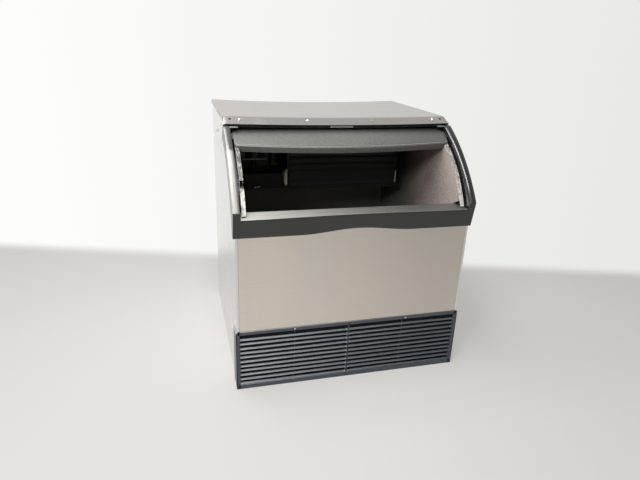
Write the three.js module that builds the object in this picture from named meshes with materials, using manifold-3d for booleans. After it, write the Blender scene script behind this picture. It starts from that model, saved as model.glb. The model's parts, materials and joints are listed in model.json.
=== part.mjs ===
// Ice cube maker: an undercounter machine that freezes cubes on a cold plate and drops them
// into the insulated bin below, which is reached under a hood door that slides up and back.
// Millimetres, +Z up, front towards -Y. The origin lies on the floor under the machine's middle.

import * as THREE from 'three';
import { mergeVertices } from 'three/addons/utils/BufferGeometryUtils.js';
import Module from 'manifold-3d';

const wasm = await Module();
wasm.setup();

// The whole machine

const overallWidth = 770; // across the two door rails
const overallDepth = 762; // nose of the hood to the ends of the fittings on the back
const overallHeight = 838; // floor to the top sheet
const noseReach = 20; // nose of the hood in front of the front panel
const fittingReach = 9; // fittings behind the back panel
const railOverhang = 6.5; // door rail outside the steel side
const topOverhang = 3.5; // top sheet outside the steel side
const louverOverhang = 3.5; // louver panel outside the steel side
const sheet = 1.5; // stainless and galvanised sheet
const seat = 0.4; // air left between two pieces that lie against each other
const overrun = 6; // how far a cut runs past the face it opens

const halfWidth = overallWidth / 2;
const bodyHalf = halfWidth - railOverhang;
const topHalf = bodyHalf + topOverhang;
const louverHalf = bodyHalf + louverOverhang;
const frontY = -overallDepth / 2 + noseReach;
const backY = overallDepth / 2 - fittingReach;
const innerHalf = bodyHalf - sheet - seat; // what fits between the steel sides

// Levels and the bin

const louverHeight = 210; // floor to the top of the louver panels
const machineHeight = 214; // floor to the pan that carries the bin
const hoodHeight = 253; // top sheet down to the flat of the sill
const chinDrop = 62.5; // sill down to the lower edge of its chin
const linerWall = 3;
const sideFoam = 28.6;
const frontFoam = 44;
const backFoam = 37;
const floorFoam = 34;

const linerHalf = bodyHalf - sheet - sideFoam - linerWall - seat;
const linerFront = frontY + sheet + frontFoam + linerWall + 2 * seat;
const linerBack = backY - sheet - backFoam - linerWall - 2 * seat;
const linerFloor = machineHeight + sheet + floorFoam + linerWall + 2 * seat;
const sillHeight = overallHeight - hoodHeight;
const chinZ = sillHeight - chinDrop;

// The hood: the door slides on an arc about an axis along X, and the rails carry it

const doorRadius = 391; // outer face of the door
const doorThickness = 5;
const doorReach = 35; // foremost point of the door's arc in front of the front panel
const doorTopGap = 18; // crown of the door below the top sheet
const doorOpenAngle = THREE.MathUtils.degToRad(31); // door's lower edge, from straight up
const doorRearAngle = THREE.MathUtils.degToRad(-18);
const railRearAngle = THREE.MathUtils.degToRad(-24);
const doorBow = 16.5; // how much longer the door is in its middle
const doorEdgeInset = 1; // door's edge inside the outer edge of its metal strip
const rimDepth = 39; // bin rim inside the door's outer face
const hoodProud = 11; // middle of the rails' curve outside the door's arc
const noseRise = 19; // nose of the rails above the sill
const lipGap = 22.7; // foot of the top sheet's slanted lip outside the door's arc
const lipRun = 40;
const lipDrop = 19;

const axisY = frontY - doorReach + doorRadius;
const axisZ = overallHeight - doorTopGap - doorRadius;
const doorInner = doorRadius - doorThickness;
const rimRadius = doorRadius - rimDepth;
const noseZ = sillHeight + noseRise;
const lipFootZ = overallHeight - lipDrop;
const lipFoot = [axisY - Math.sqrt((doorRadius + lipGap) ** 2 - (lipFootZ - axisZ) ** 2), lipFootZ];
const topEdge = [lipFoot[0] + lipRun, overallHeight];

// Door rails, across X

const bandWidth = 22; // outer band of the rail
const trackInset = 1.5; // metal strip inside the bin wall
const trackWidth = 14;
const trackThickness = 3;
const trackGap = 0.5; // door above its metal strip
const railFloor = 8; // bottom of the rail's channel
const bandInner = halfWidth - bandWidth;
const trackInner = linerHalf - trackInset;
const trackOuter = trackInner + trackWidth;
const doorHalf = trackOuter - doorEdgeInset;
const trackTop = doorInner - trackGap;

// Freezing section inside the top of the bin, behind the door

const curtainSetback = 6; // cheek plates behind the curtain's face
const sumpWidth = 207; // bin's left wall to the middle of the left cheek plate
const freezerSideGap = 57; // middle of the right cheek plate to the bin's right wall
const freezerDepth = 241.7; // cheek plates, front to back
const freezerBottomDrop = 37; // lowest part of the section below the sill
const freezerTopDrop = 53; // top of the section below the top sheet
const freezerBackGap = 30; // section in front of the bin's back wall
const cheekWall = 4;

const freezerLeft = -linerHalf + sumpWidth;
const freezerRight = linerHalf - freezerSideGap;
const freezerBottom = sillHeight - freezerBottomDrop;
const freezerTop = overallHeight - freezerTopDrop;
const freezerBack = linerBack - freezerBackGap;
const cheekFront = freezerBack - freezerDepth;
const curtainY = cheekFront - curtainSetback;

const stainless = finish(0xb4ada4, 0.36, 0.85);
const sideSteel = finish(0xc9c9c8, 0.3, 0.85);
const galvanised = finish(0x9b9d9c, 0.5, 0.8);
const blackPlastic = finish(0x3a3b3c, 0.6, 0);
const doorPlastic = finish(0x5c5f61, 0.62, 0);
const louverPlastic = finish(0x2f3843, 0.55, 0);
const linerPlastic = finish(0xb3a9a2, 0.5, 0);
const foam = finish(0xd9c98f, 0.95, 0);
const brightMetal = finish(0xc2bfb8, 0.3, 0.9);
const darkPlastic = finish(0x1d1f20, 0.5, 0);
const copper = finish(0xb5714a, 0.35, 0.95);
const nickel = finish(0xb9b7ae, 0.3, 0.95);
const blackPaint = finish(0x17181a, 0.45, 0.2);
const rubber = finish(0x222222, 0.85, 0);
const aluminium = finish(0xa9acae, 0.45, 0.85);
const whitePlastic = finish(0xdedcd4, 0.55, 0);
const brass = finish(0xb59a56, 0.35, 0.9);
const filterMesh = finish(0x2b2d2f, 0.9, 0);

function finish(color, roughness, metalness) {
  return new THREE.MeshStandardMaterial({ color, roughness, metalness });
}

// Solids: everything below is drawn in three.js and then joined and cut

function solidFrom(geometry) {
  const bare = geometry.index ? geometry.toNonIndexed() : geometry.clone();
  bare.deleteAttribute('normal');
  bare.deleteAttribute('uv');
  const merged = mergeVertices(bare);
  return new wasm.Manifold(
    new wasm.Mesh({
      numProp: 3,
      vertProperties: merged.attributes.position.array,
      triVerts: new Uint32Array(merged.index.array),
    }),
  );
}

function geometryFrom(solid) {
  const mesh = solid.getMesh();
  const geometry = new THREE.BufferGeometry();
  geometry.setAttribute('position', new THREE.BufferAttribute(mesh.vertProperties, 3));
  geometry.setIndex(new THREE.BufferAttribute(mesh.triVerts, 1));
  const flat = geometry.toNonIndexed();
  flat.computeVertexNormals();
  return flat;
}

function join(first, ...others) {
  return others.flat().reduce((sum, other) => sum.add(other), first);
}

function cut(first, ...tools) {
  return tools.flat().reduce((rest, tool) => rest.subtract(tool), first);
}

function block(x0, x1, y0, y1, z0, z1) {
  const box = new THREE.BoxGeometry(Math.abs(x1 - x0), Math.abs(y1 - y0), Math.abs(z1 - z0));
  return solidFrom(box.translate((x0 + x1) / 2, (y0 + y1) / 2, (z0 + z1) / 2));
}

// Extrudes an outline of pairs along the axis that the last three arguments make
function prism(outline, depth, uAxis, vAxis, wAxis, shift) {
  const shape = new THREE.Shape(outline.map(([u, v]) => new THREE.Vector2(u, v)));
  const body = new THREE.ExtrudeGeometry(shape, { depth, bevelEnabled: false });
  body.applyMatrix4(new THREE.Matrix4().makeBasis(uAxis, vAxis, wAxis).setPosition(shift));
  return solidFrom(body);
}

const xAxis = new THREE.Vector3(1, 0, 0);
const yAxis = new THREE.Vector3(0, 1, 0);
const zAxis = new THREE.Vector3(0, 0, 1);

// An outline of [y, z] pairs from x0 to x1
function prismX(outline, x0, x1) {
  const start = Math.min(x0, x1);
  return prism(outline, Math.abs(x1 - x0), yAxis, zAxis, xAxis, xAxis.clone().multiplyScalar(start));
}

// An outline of [x, z] pairs from y0 to y1
function prismY(outline, y0, y1) {
  const start = Math.max(y0, y1);
  const back = yAxis.clone().negate();
  return prism(outline, Math.abs(y1 - y0), xAxis, zAxis, back, yAxis.clone().multiplyScalar(start));
}

// An outline of [x, y] pairs from z0 to z1
function prismZ(outline, z0, z1) {
  const start = Math.min(z0, z1);
  return prism(outline, Math.abs(z1 - z0), xAxis, yAxis, zAxis, zAxis.clone().multiplyScalar(start));
}

function roundedRectangle(u0, u1, v0, v1, radius, cornerSteps = 3) {
  const corners = [[u1, v1, 0], [u0, v1, 1], [u0, v0, 2], [u1, v0, 3]];
  return corners.flatMap(([u, v, quarter]) => {
    const centreU = u + (u === u1 ? -radius : radius);
    const centreV = v + (v === v1 ? -radius : radius);
    return steps(cornerSteps + 1, (i) => {
      const angle = ((quarter + i / cornerSteps) * Math.PI) / 2;
      return [centreU + radius * Math.cos(angle), centreV + radius * Math.sin(angle)];
    });
  });
}

function circle(u, v, radius, sides) {
  return steps(sides, (i) => {
    const angle = (i / sides) * 2 * Math.PI;
    return [u + radius * Math.cos(angle), v + radius * Math.sin(angle)];
  });
}

// Round bars along the three axes, and one between any two points
function alongX(y, z, x0, x1, radius, sides = 12) {
  return prismX(circle(y, z, radius, sides), x0, x1);
}

function alongY(x, z, y0, y1, radius, sides = 12) {
  return prismY(circle(x, z, radius, sides), y0, y1);
}

function upright(x, y, z0, z1, radius, sides = 12) {
  return prismZ(circle(x, y, radius, sides), z0, z1);
}

function rod(from, to, radius, sides = 12) {
  const start = new THREE.Vector3(...from);
  const along = new THREE.Vector3(...to).sub(start);
  const body = new THREE.CylinderGeometry(radius, radius, along.length(), sides);
  body.translate(0, along.length() / 2, 0);
  body.applyQuaternion(new THREE.Quaternion().setFromUnitVectors(yAxis, along.normalize()));
  return solidFrom(body.translate(...from));
}

// A path whose even steps fall on chosen points: close together in the bends, far apart between
class Route extends THREE.Curve {
  constructor(points) {
    super();
    this.points = points;
  }

  getUtoTmapping(u) {
    return u;
  }

  getPoint(t) {
    const place = t * (this.points.length - 1);
    const i = Math.min(Math.floor(place), this.points.length - 2);
    return this.points[i].clone().lerp(this.points[i + 1], place - i);
  }
}

const bendRoomShare = 0.48; // of a straight stretch that the bend at each end may take

// A round pipe through a list of corners, each bent on its own radius
function pipe(corners, radius, bend, sides = 6, bendSteps = 3) {
  const ends = corners.map((corner) => new THREE.Vector3(...corner));
  const route = [ends[0]];
  for (let i = 1; i < ends.length - 1; i += 1) {
    const before = ends[i - 1].clone().sub(ends[i]);
    const after = ends[i + 1].clone().sub(ends[i]);
    const reach = Math.min(bend, before.length() * bendRoomShare, after.length() * bendRoomShare);
    const enter = ends[i].clone().add(before.setLength(reach));
    const leave = ends[i].clone().add(after.setLength(reach));
    route.push(...new THREE.QuadraticBezierCurve3(enter, ends[i], leave).getPoints(bendSteps));
  }
  route.push(ends[ends.length - 1]);
  const section = new THREE.Shape(circle(0, 0, radius, sides).map(([x, y]) => new THREE.Vector2(x, y)));
  const options = { steps: route.length - 1, extrudePath: new Route(route) };
  return solidFrom(new THREE.ExtrudeGeometry(section, options));
}

// Skins closed rings of equally many points that follow each other along X, and closes both ends
function loft(rings) {
  const count = rings[0].length;
  const inPlane = (ring) => ring.map((point) => new THREE.Vector2(point[1], point[2]));
  const clockwise = THREE.ShapeUtils.isClockWise(inPlane(rings[0]));
  const ordered = clockwise ? rings.map((ring) => [...ring].reverse()) : rings;
  const faces = [];
  for (let ring = 0; ring < ordered.length - 1; ring += 1) {
    for (let i = 0; i < count; i += 1) {
      const a = ring * count + i;
      const b = ring * count + ((i + 1) % count);
      faces.push(a, b, b + count, a, b + count, a + count);
    }
  }
  const end = (ordered.length - 1) * count;
  THREE.ShapeUtils.triangulateShape(inPlane(ordered[0]), []).forEach(([a, b, c]) => {
    faces.push(c, b, a, end + a, end + b, end + c);
  });
  return closedSolid(ordered.flat(2), faces);
}

// Turns the faces round where they point inwards
function closedSolid(positions, faces) {
  const geometry = new THREE.BufferGeometry();
  geometry.setAttribute('position', new THREE.Float32BufferAttribute(positions, 3));
  geometry.setIndex(faces);
  const solid = solidFrom(geometry);
  if (solid.volume() > 0) return solid;
  geometry.setIndex([...faces].reverse());
  return solidFrom(geometry);
}

function steps(count, make) {
  return Array.from({ length: count }, (_, i) => make(i));
}

// Points on the arc about the door's axis; angles run from straight up towards the front
function arcPoint(radius, angle) {
  return [axisY - radius * Math.sin(angle), axisZ + radius * Math.cos(angle)];
}

function arcPoints(radius, fromAngle, toAngle, count) {
  return steps(count + 1, (i) => arcPoint(radius, fromAngle + ((toAngle - fromAngle) * i) / count));
}

function arcBand(x0, x1, innerRadius, outerRadius, fromAngle, toAngle, count = 12) {
  const outer = arcPoints(outerRadius, fromAngle, toAngle, count);
  const inner = arcPoints(innerRadius, toAngle, fromAngle, count);
  return prismX([...outer, ...inner], x0, x1);
}

// The angle at which an arc about the door's axis comes down to a height at the front
function angleAtHeight(radius, z) {
  return Math.acos((z - axisZ) / radius);
}

const bothSides = [['left', -1], ['right', 1]];

const machine = new THREE.Group();

// Solids are drawn in the machine's frame; one that moves hangs in a group on its own axis
function addPiece(name, solid, material, group = machine) {
  const geometry = geometryFrom(solid);
  geometry.translate(-group.position.x, -group.position.y, -group.position.z);
  const mesh = new THREE.Mesh(geometry, material);
  mesh.name = name;
  group.add(mesh);
}

function addGroup(x, y, z) {
  const group = new THREE.Group();
  group.position.set(x, y, z);
  machine.add(group);
  return group;
}

// Crown of the hood line: over the middle of its chord, and a little outside the door's arc
function hoodMiddle(nose) {
  const foot = [(nose[0] + lipFoot[0]) / 2, (nose[1] + lipFoot[1]) / 2];
  const chord = Math.hypot(lipFoot[0] - nose[0], lipFoot[1] - nose[1]);
  const out = [-(lipFoot[1] - nose[1]) / chord, (lipFoot[0] - nose[0]) / chord];
  const from = [foot[0] - axisY, foot[1] - axisZ];
  const along = from[0] * out[0] + from[1] * out[1];
  const reach = (doorRadius + hoodProud) ** 2 - from[0] ** 2 - from[1] ** 2;
  const step = Math.sqrt(along ** 2 + reach) - along;
  return [foot[0] + out[0] * step, foot[1] + out[1] * step];
}

// Hood line: the rails' side view, a shallow arc from the nose up to the foot of the lip
function hoodArc(fromShare, toShare, count) {
  const nose = [-overallDepth / 2, noseZ];
  const chordY = lipFoot[0] - nose[0];
  const chordZ = lipFoot[1] - nose[1];
  const chord = Math.hypot(chordY, chordZ);
  const middle = hoodMiddle(nose);
  const sagitta = Math.hypot(middle[0] - (nose[0] + lipFoot[0]) / 2, middle[1] - (nose[1] + lipFoot[1]) / 2);
  const hoodRadius = (chord ** 2 / 4 + sagitta ** 2) / (2 * sagitta);
  const rise = hoodRadius - sagitta;
  const centreY = (nose[0] + lipFoot[0]) / 2 + (rise * chordZ) / chord;
  const centreZ = (nose[1] + lipFoot[1]) / 2 - (rise * chordY) / chord;
  const noseAngle = Math.atan2(centreY - nose[0], nose[1] - centreZ);
  const lipAngle = Math.atan2(centreY - lipFoot[0], lipFoot[1] - centreZ);
  return steps(count + 1, (i) => {
    const angle = noseAngle + (lipAngle - noseAngle) * (fromShare + ((toShare - fromShare) * i) / count);
    return [centreY - hoodRadius * Math.sin(angle), centreZ + hoodRadius * Math.cos(angle)];
  });
}

// A point below the slanted lip, at a height or beside its foot
function underLip(z) {
  const length = Math.hypot(lipRun, lipDrop);
  const depth = sheet + seat;
  const footY = lipFoot[0] + (depth * lipDrop) / length;
  const footZ = lipFoot[1] - (depth * lipRun) / length;
  return z === undefined ? [footY, footZ] : [footY + ((z - footZ) * lipRun) / lipDrop, z];
}

const rimSteps = 16;

// Rim line that the bin, its insulation and the steel sides share: the front, the arc, the back
function rimOutline(radius, frontEdge, baseZ, frontTop, topZ) {
  const lowAngle = angleAtHeight(radius, frontTop);
  const rear = arcPoint(radius, railRearAngle);
  return [
    [backY + overrun, baseZ],
    [frontEdge, baseZ],
    [frontEdge, frontTop],
    ...arcPoints(radius, lowAngle, railRearAngle, rimSteps),
    [rear[0], topZ],
    [backY + overrun, topZ],
  ];
}

// Cabinet: pan, steel sides, back, top and front

const pan = { flange: 20, frontSetback: 9.4, bossRadius: 18, bossHeight: 8, bossInset: 36, legBore: 5 };
pan.front = frontY + pan.frontSetback;
pan.back = backY - sheet - seat;

function basePan() {
  const tray = cut(
    block(-innerHalf, innerHalf, pan.front, pan.back, 0, pan.flange),
    block(
      -innerHalf + sheet,
      innerHalf - sheet,
      pan.front - overrun,
      pan.back - sheet,
      sheet,
      pan.flange * 2,
    ),
  );
  const corners = [
    [-innerHalf + pan.bossInset, pan.front + pan.bossInset],
    [innerHalf - pan.bossInset, pan.front + pan.bossInset],
    [innerHalf - pan.bossInset, pan.back - pan.bossInset],
    [-innerHalf + pan.bossInset, pan.back - pan.bossInset],
  ];
  const bosses = corners.map(([x, y]) => upright(x, y, 0, pan.bossHeight, pan.bossRadius, 10));
  const bores = corners.map(([x, y]) => upright(x, y, -overrun, pan.bossHeight - sheet, pan.legBore, 8));
  return cut(join(tray, bosses), bores);
}

const sideFlange = 7.5; // steel side turned in across the front, beside the front panel
const sideTop = overallHeight - sheet - seat;
const sagRoom = 9; // the top sheet can sag this far between the steel sides
const sideRim = rimRadius - seat;

function sidePanel(side) {
  const outline = rimOutline(sideRim, frontY, sheet, chinZ - seat, sideTop);
  const trimmed = outline.map(([y, z]) => [Math.min(y, backY), z]);
  const face = prismX(trimmed, side * (bodyHalf - sheet), side * bodyHalf);
  const flange = block(
    side * (bodyHalf - sideFlange),
    side * bodyHalf,
    frontY,
    frontY + sheet,
    louverHeight + seat,
    chinZ - seat,
  );
  return join(face, flange);
}

const frontPanel = { hem: 14, tuck: 22 };
const blockJoint = 1; // how far the sill's end blocks reach inside the rails' inner faces

function frontSheet() {
  const half = bodyHalf - sideFlange - seat;
  const bottom = louverHeight + 2 * seat;
  const neckHalf = bandInner - blockJoint - seat;
  const outline = [
    [-half, bottom],
    [half, bottom],
    [half, chinZ - seat],
    [neckHalf, chinZ - seat],
    [neckHalf, chinZ + frontPanel.tuck],
    [-neckHalf, chinZ + frontPanel.tuck],
    [-neckHalf, chinZ - seat],
    [-half, chinZ - seat],
  ];
  const face = prismY(outline, frontY, frontY + sheet);
  const hem = block(-half, half, frontY, frontY + frontPanel.hem, bottom, bottom + sheet);
  return join(face, hem);
}

const topSheet = { sideDrop: 12, backDrop: 15, holeRadius: 2.7, screwRadius: 2.2 };
// Holes along the lip: two empty ones at the ends and four for screws
const lipEndHoleInset = 21;
const lipEndScrewInset = 50.5;
const lipMiddleScrewOffset = 110;

function topPanel() {
  const back = backY + seat + sheet;
  const under = underLip();
  const run = topEdge[0] - lipFoot[0];
  const inside = [under[0] + run, overallHeight - sheet];
  const outline = [
    lipFoot,
    topEdge,
    [back, overallHeight],
    [back, overallHeight - topSheet.backDrop],
    [back - sheet, overallHeight - topSheet.backDrop],
    [back - sheet, overallHeight - sheet],
    [inside[0] - seat, overallHeight - sheet],
    [under[0] - seat / 2, under[1] + seat / 2],
  ];
  const flangeBottom = overallHeight - topSheet.sideDrop;
  const flanges = bothSides.map(([, side]) => {
    const inner = side * (topHalf - sheet);
    return block(inner, side * topHalf, topEdge[0], back, flangeBottom, overallHeight - sheet / 2);
  });
  const skin = join(prismX(outline, -topHalf, topHalf), flanges);
  const normal = [0, -lipDrop / Math.hypot(lipRun, lipDrop), lipRun / Math.hypot(lipRun, lipDrop)];
  const middle = [0, (lipFoot[0] + topEdge[0]) / 2, (lipFoot[1] + topEdge[1]) / 2];
  const holeAt = (x, radius) => {
    const from = normal.map((share, i) => middle[i] - share * overrun + (i === 0 ? x : 0));
    const to = normal.map((share, i) => middle[i] + share * overrun + (i === 0 ? x : 0));
    return rod(from, to, radius, 8);
  };
  const ends = bothSides.map(([, side]) => holeAt(side * (topHalf - lipEndHoleInset), topSheet.holeRadius));
  const screws = [topHalf - lipEndScrewInset, lipMiddleScrewOffset].flatMap((x) => [
    holeAt(-x, topSheet.screwRadius),
    holeAt(x, topSheet.screwRadius),
  ]);
  return cut(skin, ends, screws);
}

// Fittings through the back panel: water in, drain out and the mains gland
const inletInset = 85; // in from the machine's left side
const drainInset = 175;
const glandInset = 135; // and from its right side
const inletX = -halfWidth + inletInset;
const drainX = -halfWidth + drainInset;
const glandX = halfWidth - glandInset;
const backFittingZ = 66;
const inletRadius = 13;
const drainRadius = 12;
const glandRadius = 11;

function backPanel() {
  const face = block(-innerHalf, innerHalf, backY - sheet, backY, sheet, sideTop - sagRoom);
  const fittings = [[inletX, inletRadius], [drainX, drainRadius], [glandX, glandRadius]];
  const openings = fittings.map(([x, radius]) => {
    return alongY(x, backFittingZ, backY - overrun, backY + overrun, radius + seat, 14);
  });
  return cut(face, openings);
}

// Channel under the lip, which ties the two sides together above the door
const crossbar = {
  setback: 4,
  depth: 30,
  floorDrop: 27,
  tabWidth: 78,
  tabDrop: 5,
  footWidth: 39,
  footReach: 11,
};

function frontCrossbar() {
  const half = bandInner - seat;
  const front = lipFoot[0] + crossbar.setback;
  const back = front + crossbar.depth;
  const floor = overallHeight - crossbar.floorDrop;
  const lipZ = (y) => underLip()[1] + ((y - underLip()[0]) * lipDrop) / lipRun - seat;
  const outline = [
    [front, floor],
    [back, floor],
    [back, lipZ(back)],
    [back - sheet, lipZ(back - sheet)],
    [back - sheet, floor + sheet],
    [front + sheet, floor + sheet],
    [front + sheet, lipZ(front)],
    [front, lipZ(front)],
  ];
  const channel = prismX(outline, -half, half);
  const tab = block(
    -crossbar.tabWidth / 2,
    crossbar.tabWidth / 2,
    front,
    front + sheet,
    floor - crossbar.tabDrop,
    floor + sheet,
  );
  const feet = bothSides.map(([, side]) => {
    const inner = side * (half - crossbar.footWidth);
    return block(inner, side * half, front - crossbar.footReach, front + sheet, floor, floor + sheet);
  });
  return join(channel, tab, feet);
}

function binFloorPan() {
  const plate = block(
    -innerHalf,
    innerHalf,
    frontY + sheet + seat,
    pan.back,
    machineHeight,
    machineHeight + sheet,
  );
  const drain = upright(drainX, drainY, machineHeight - overrun, machineHeight + overrun, drainRadius);
  return cut(plate, drain);
}

// Post behind the joint of the two louver panels
const post = { width: 34, depth: 16 };

function centrePost() {
  const front = filter.back + seat;
  const back = front + post.depth;
  const left = louver.splitX - post.width / 2;
  const right = louver.splitX + post.width / 2;
  const outline = [
    [left, back],
    [left, front],
    [right, front],
    [right, back],
    [right - sheet, back],
    [right - sheet, front + sheet],
    [left + sheet, front + sheet],
    [left + sheet, back],
  ];
  return prismZ(outline, sheet + seat, machineHeight + sheet / 2);
}

// Bin: moulded liner and the foam around it

const binCorner = 6; // inside corner radius of the liner
const sillWall = 4;
const sillHang = 4; // sill's back edge inside the front wall
const rimTop = sillHeight - sillWall - seat; // front wall's top, under the sill
const sillInnerEdge = linerFront + sillHang;
const binTop = sideTop - sagRoom;
const drainSetback = 45; // drain hole in front of the bin's back wall
const drainY = linerBack - drainSetback;
const drainHole = 10;
const ledge = { width: 8, height: 10, length: 170, drop: 100 }; // shelf for the freezing section
ledge.top = overallHeight - ledge.drop;

// Everything above the bin's rim between the sides
function aboveRim(radius, sillEdge) {
  const lowAngle = Math.asin((axisY - sillEdge) / radius);
  const outline = [
    [frontY - overrun, rimTop],
    [sillEdge, rimTop],
    ...arcPoints(radius, lowAngle, railRearAngle, rimSteps),
    [arcPoint(radius, railRearAngle)[0], overallHeight + overrun],
    [frontY - overrun, overallHeight + overrun],
  ];
  return prismX(outline, -halfWidth, halfWidth);
}

function binLiner() {
  const outer = linerHalf + linerWall;
  const shell = cut(
    prismZ(
      roundedRectangle(-outer, outer, linerFront - linerWall, linerBack + linerWall, binCorner + linerWall),
      linerFloor - linerWall,
      binTop,
    ),
    prismZ(
      roundedRectangle(-linerHalf, linerHalf, linerFront, linerBack, binCorner),
      linerFloor,
      binTop + overrun,
    ),
  );
  const shelves = bothSides.map(([, side]) => {
    const outline = [
      [side * (linerHalf + linerWall / 2), ledge.top - ledge.height - ledge.width],
      [side * (linerHalf + linerWall / 2), ledge.top],
      [side * (linerHalf - ledge.width), ledge.top],
      [side * (linerHalf - ledge.width), ledge.top - ledge.height],
    ];
    return prismY(outline, freezerBack - ledge.length, freezerBack);
  });
  const drain = upright(drainX, drainY, linerFloor - overrun, linerFloor + overrun, drainHole);
  return cut(join(shell, shelves), aboveRim(rimRadius - 2 * seat, sillInnerEdge + seat), drain);
}

function binInsulation() {
  const foamFront = frontY + sheet + seat;
  const foamBack = backY - sheet - seat;
  const foamBottom = machineHeight + sheet + seat;
  const pocketHalf = linerHalf + linerWall + seat;
  const body = block(-innerHalf, innerHalf, foamFront, foamBack, foamBottom, binTop);
  const pocket = prismZ(
    roundedRectangle(
      -pocketHalf,
      pocketHalf,
      linerFront - linerWall - seat,
      linerBack + linerWall + seat,
      binCorner + linerWall,
    ),
    linerFloor - linerWall - seat,
    binTop + overrun,
  );
  const underSill = block(
    -halfWidth,
    halfWidth,
    foamFront - overrun,
    linerFront - linerWall,
    chinZ + frontPanel.tuck + 2 * seat,
    overallHeight,
  );
  const besideChin = bothSides.map(([, side]) => {
    const outline = [
      [foamFront - overrun, chinZ - seat],
      ...arcPoints(sideRim, angleAtHeight(sideRim, chinZ - seat), angleAtHeight(sideRim, noseZ), 4),
      [foamFront - overrun, noseZ],
    ];
    return prismX(outline, side * (bandInner - blockJoint - seat), side * (innerHalf + overrun));
  });
  const drain = upright(drainX, drainY, foamBottom - overrun, linerFloor, drainRadius + seat);
  return cut(body, pocket, aboveRim(sideRim, sillInnerEdge + seat), underSill, besideChin, drain);
}

// Sill and chin: one moulding below the mouth, arched along its lower edge

const sill = {
  wall: sillWall,
  chinWall: 3.5,
  chinProud: 4, // chin's lower edge in front of the front panel
  lean: 12, // chin's top edge in front of its lower edge
  endDip: 1.5, // front edge of the sill below its flat, at the ends
  middleRise: 5, // and above it in the middle
  archRise: 14.5,
  archHalf: 185,
  backDrop: 15,
  edgeRadius: 3,
  edgeShare: 0.3, // of that radius, where the rounding's middle point lies
  ribWidth: 3,
  ribSpacing: 145,
  ribs: 5,
  stations: 16,
};

function sillSection(x) {
  const half = bandInner;
  const waveShare = 0.5 + 0.5 * Math.cos((Math.PI * x) / half);
  const archShare = Math.abs(x) < sill.archHalf ? 0.5 + 0.5 * Math.cos((Math.PI * x) / sill.archHalf) : 0;
  const bottom = chinZ + sill.archRise * archShare;
  const edge = sillHeight - sill.endDip + (sill.middleRise + sill.endDip) * waveShare;
  const front = (z) => frontY - sill.chinProud - (sill.lean * (z - chinZ)) / (sillHeight - chinZ);
  const inside = (z) => front(z) + sill.chinWall;
  const radius = sill.edgeRadius;
  const back = sillInnerEdge;
  return [
    [x, front(bottom), bottom],
    [x, front(edge - radius), edge - radius],
    [x, front(edge) + radius * sill.edgeShare, edge - radius * sill.edgeShare],
    [x, front(edge) + radius, edge],
    [x, back - radius, sillHeight],
    [x, back, sillHeight - radius],
    [x, back, sillHeight - sill.backDrop],
    [x, back - sill.wall + seat, sillHeight - sill.backDrop],
    [x, back - sill.wall + seat, sillHeight - sill.wall],
    [x, inside(edge) + radius, edge - sill.wall],
    [x, inside(edge - sill.wall), edge - sill.wall - radius],
    [x, inside(bottom), bottom],
  ];
}

function frontSill() {
  const half = bandInner;
  const rings = steps(sill.stations + 1, (i) => sillSection(-half + (2 * half * i) / sill.stations));
  const outline = [
    [frontY - sill.chinProud, chinZ],
    [-overallDepth / 2, noseZ],
    ...arcPoints(rimRadius, angleAtHeight(rimRadius, noseZ), angleAtHeight(rimRadius, chinZ), 5),
  ];
  const ends = bothSides.map(([, side]) => prismX(outline, side * (half - blockJoint), side * halfWidth));
  const ribTop = sillHeight - sill.wall / 2;
  const ribFoot = chinZ + frontPanel.tuck + 2 * sill.wall;
  const ribFront = frontY - sill.chinProud - sill.lean / 2 + sill.chinWall / 2;
  const ribs = steps(sill.ribs, (i) => {
    const x = (i - (sill.ribs - 1) / 2) * sill.ribSpacing;
    const gusset = [
      [ribFront, ribFoot],
      [ribFront - sill.lean / 3, ribTop],
      [linerFront - 4 * linerWall, ribTop],
    ];
    return prismX(gusset, x - sill.ribWidth / 2, x + sill.ribWidth / 2);
  });
  const cornerTrim = bothSides.map(([, side]) =>
    block(
      side * (linerHalf - binCorner - seat),
      side * (halfWidth + overrun),
      sillInnerEdge - sill.wall - seat,
      sillInnerEdge + overrun,
      sillHeight - sill.backDrop - overrun,
      sillHeight - sill.wall,
    ),
  );
  return join(cut(loft(rings), cornerTrim), ends, ribs);
}

// Door rails: moulded channels that frame the mouth, open underneath and stiffened by webs

const rail = {
  wall: 3,
  roof: 14, // solid end of the rail before its first pocket
  pockets: 5,
  top: 12.8,
  noseDepth: 70, // of the rail at its seam with the sill
  channelGap: 2, // channel above the sill's flat
  hoodShares: [0.985, 0.004], // of the hood line that the rail keeps between lip and nose
};
rail.topZ = overallHeight - rail.top;
rail.baseInner = linerHalf + 3 * seat;
rail.seamZ = noseZ + seat;
rail.channelZ = sillHeight + rail.channelGap;

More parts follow.
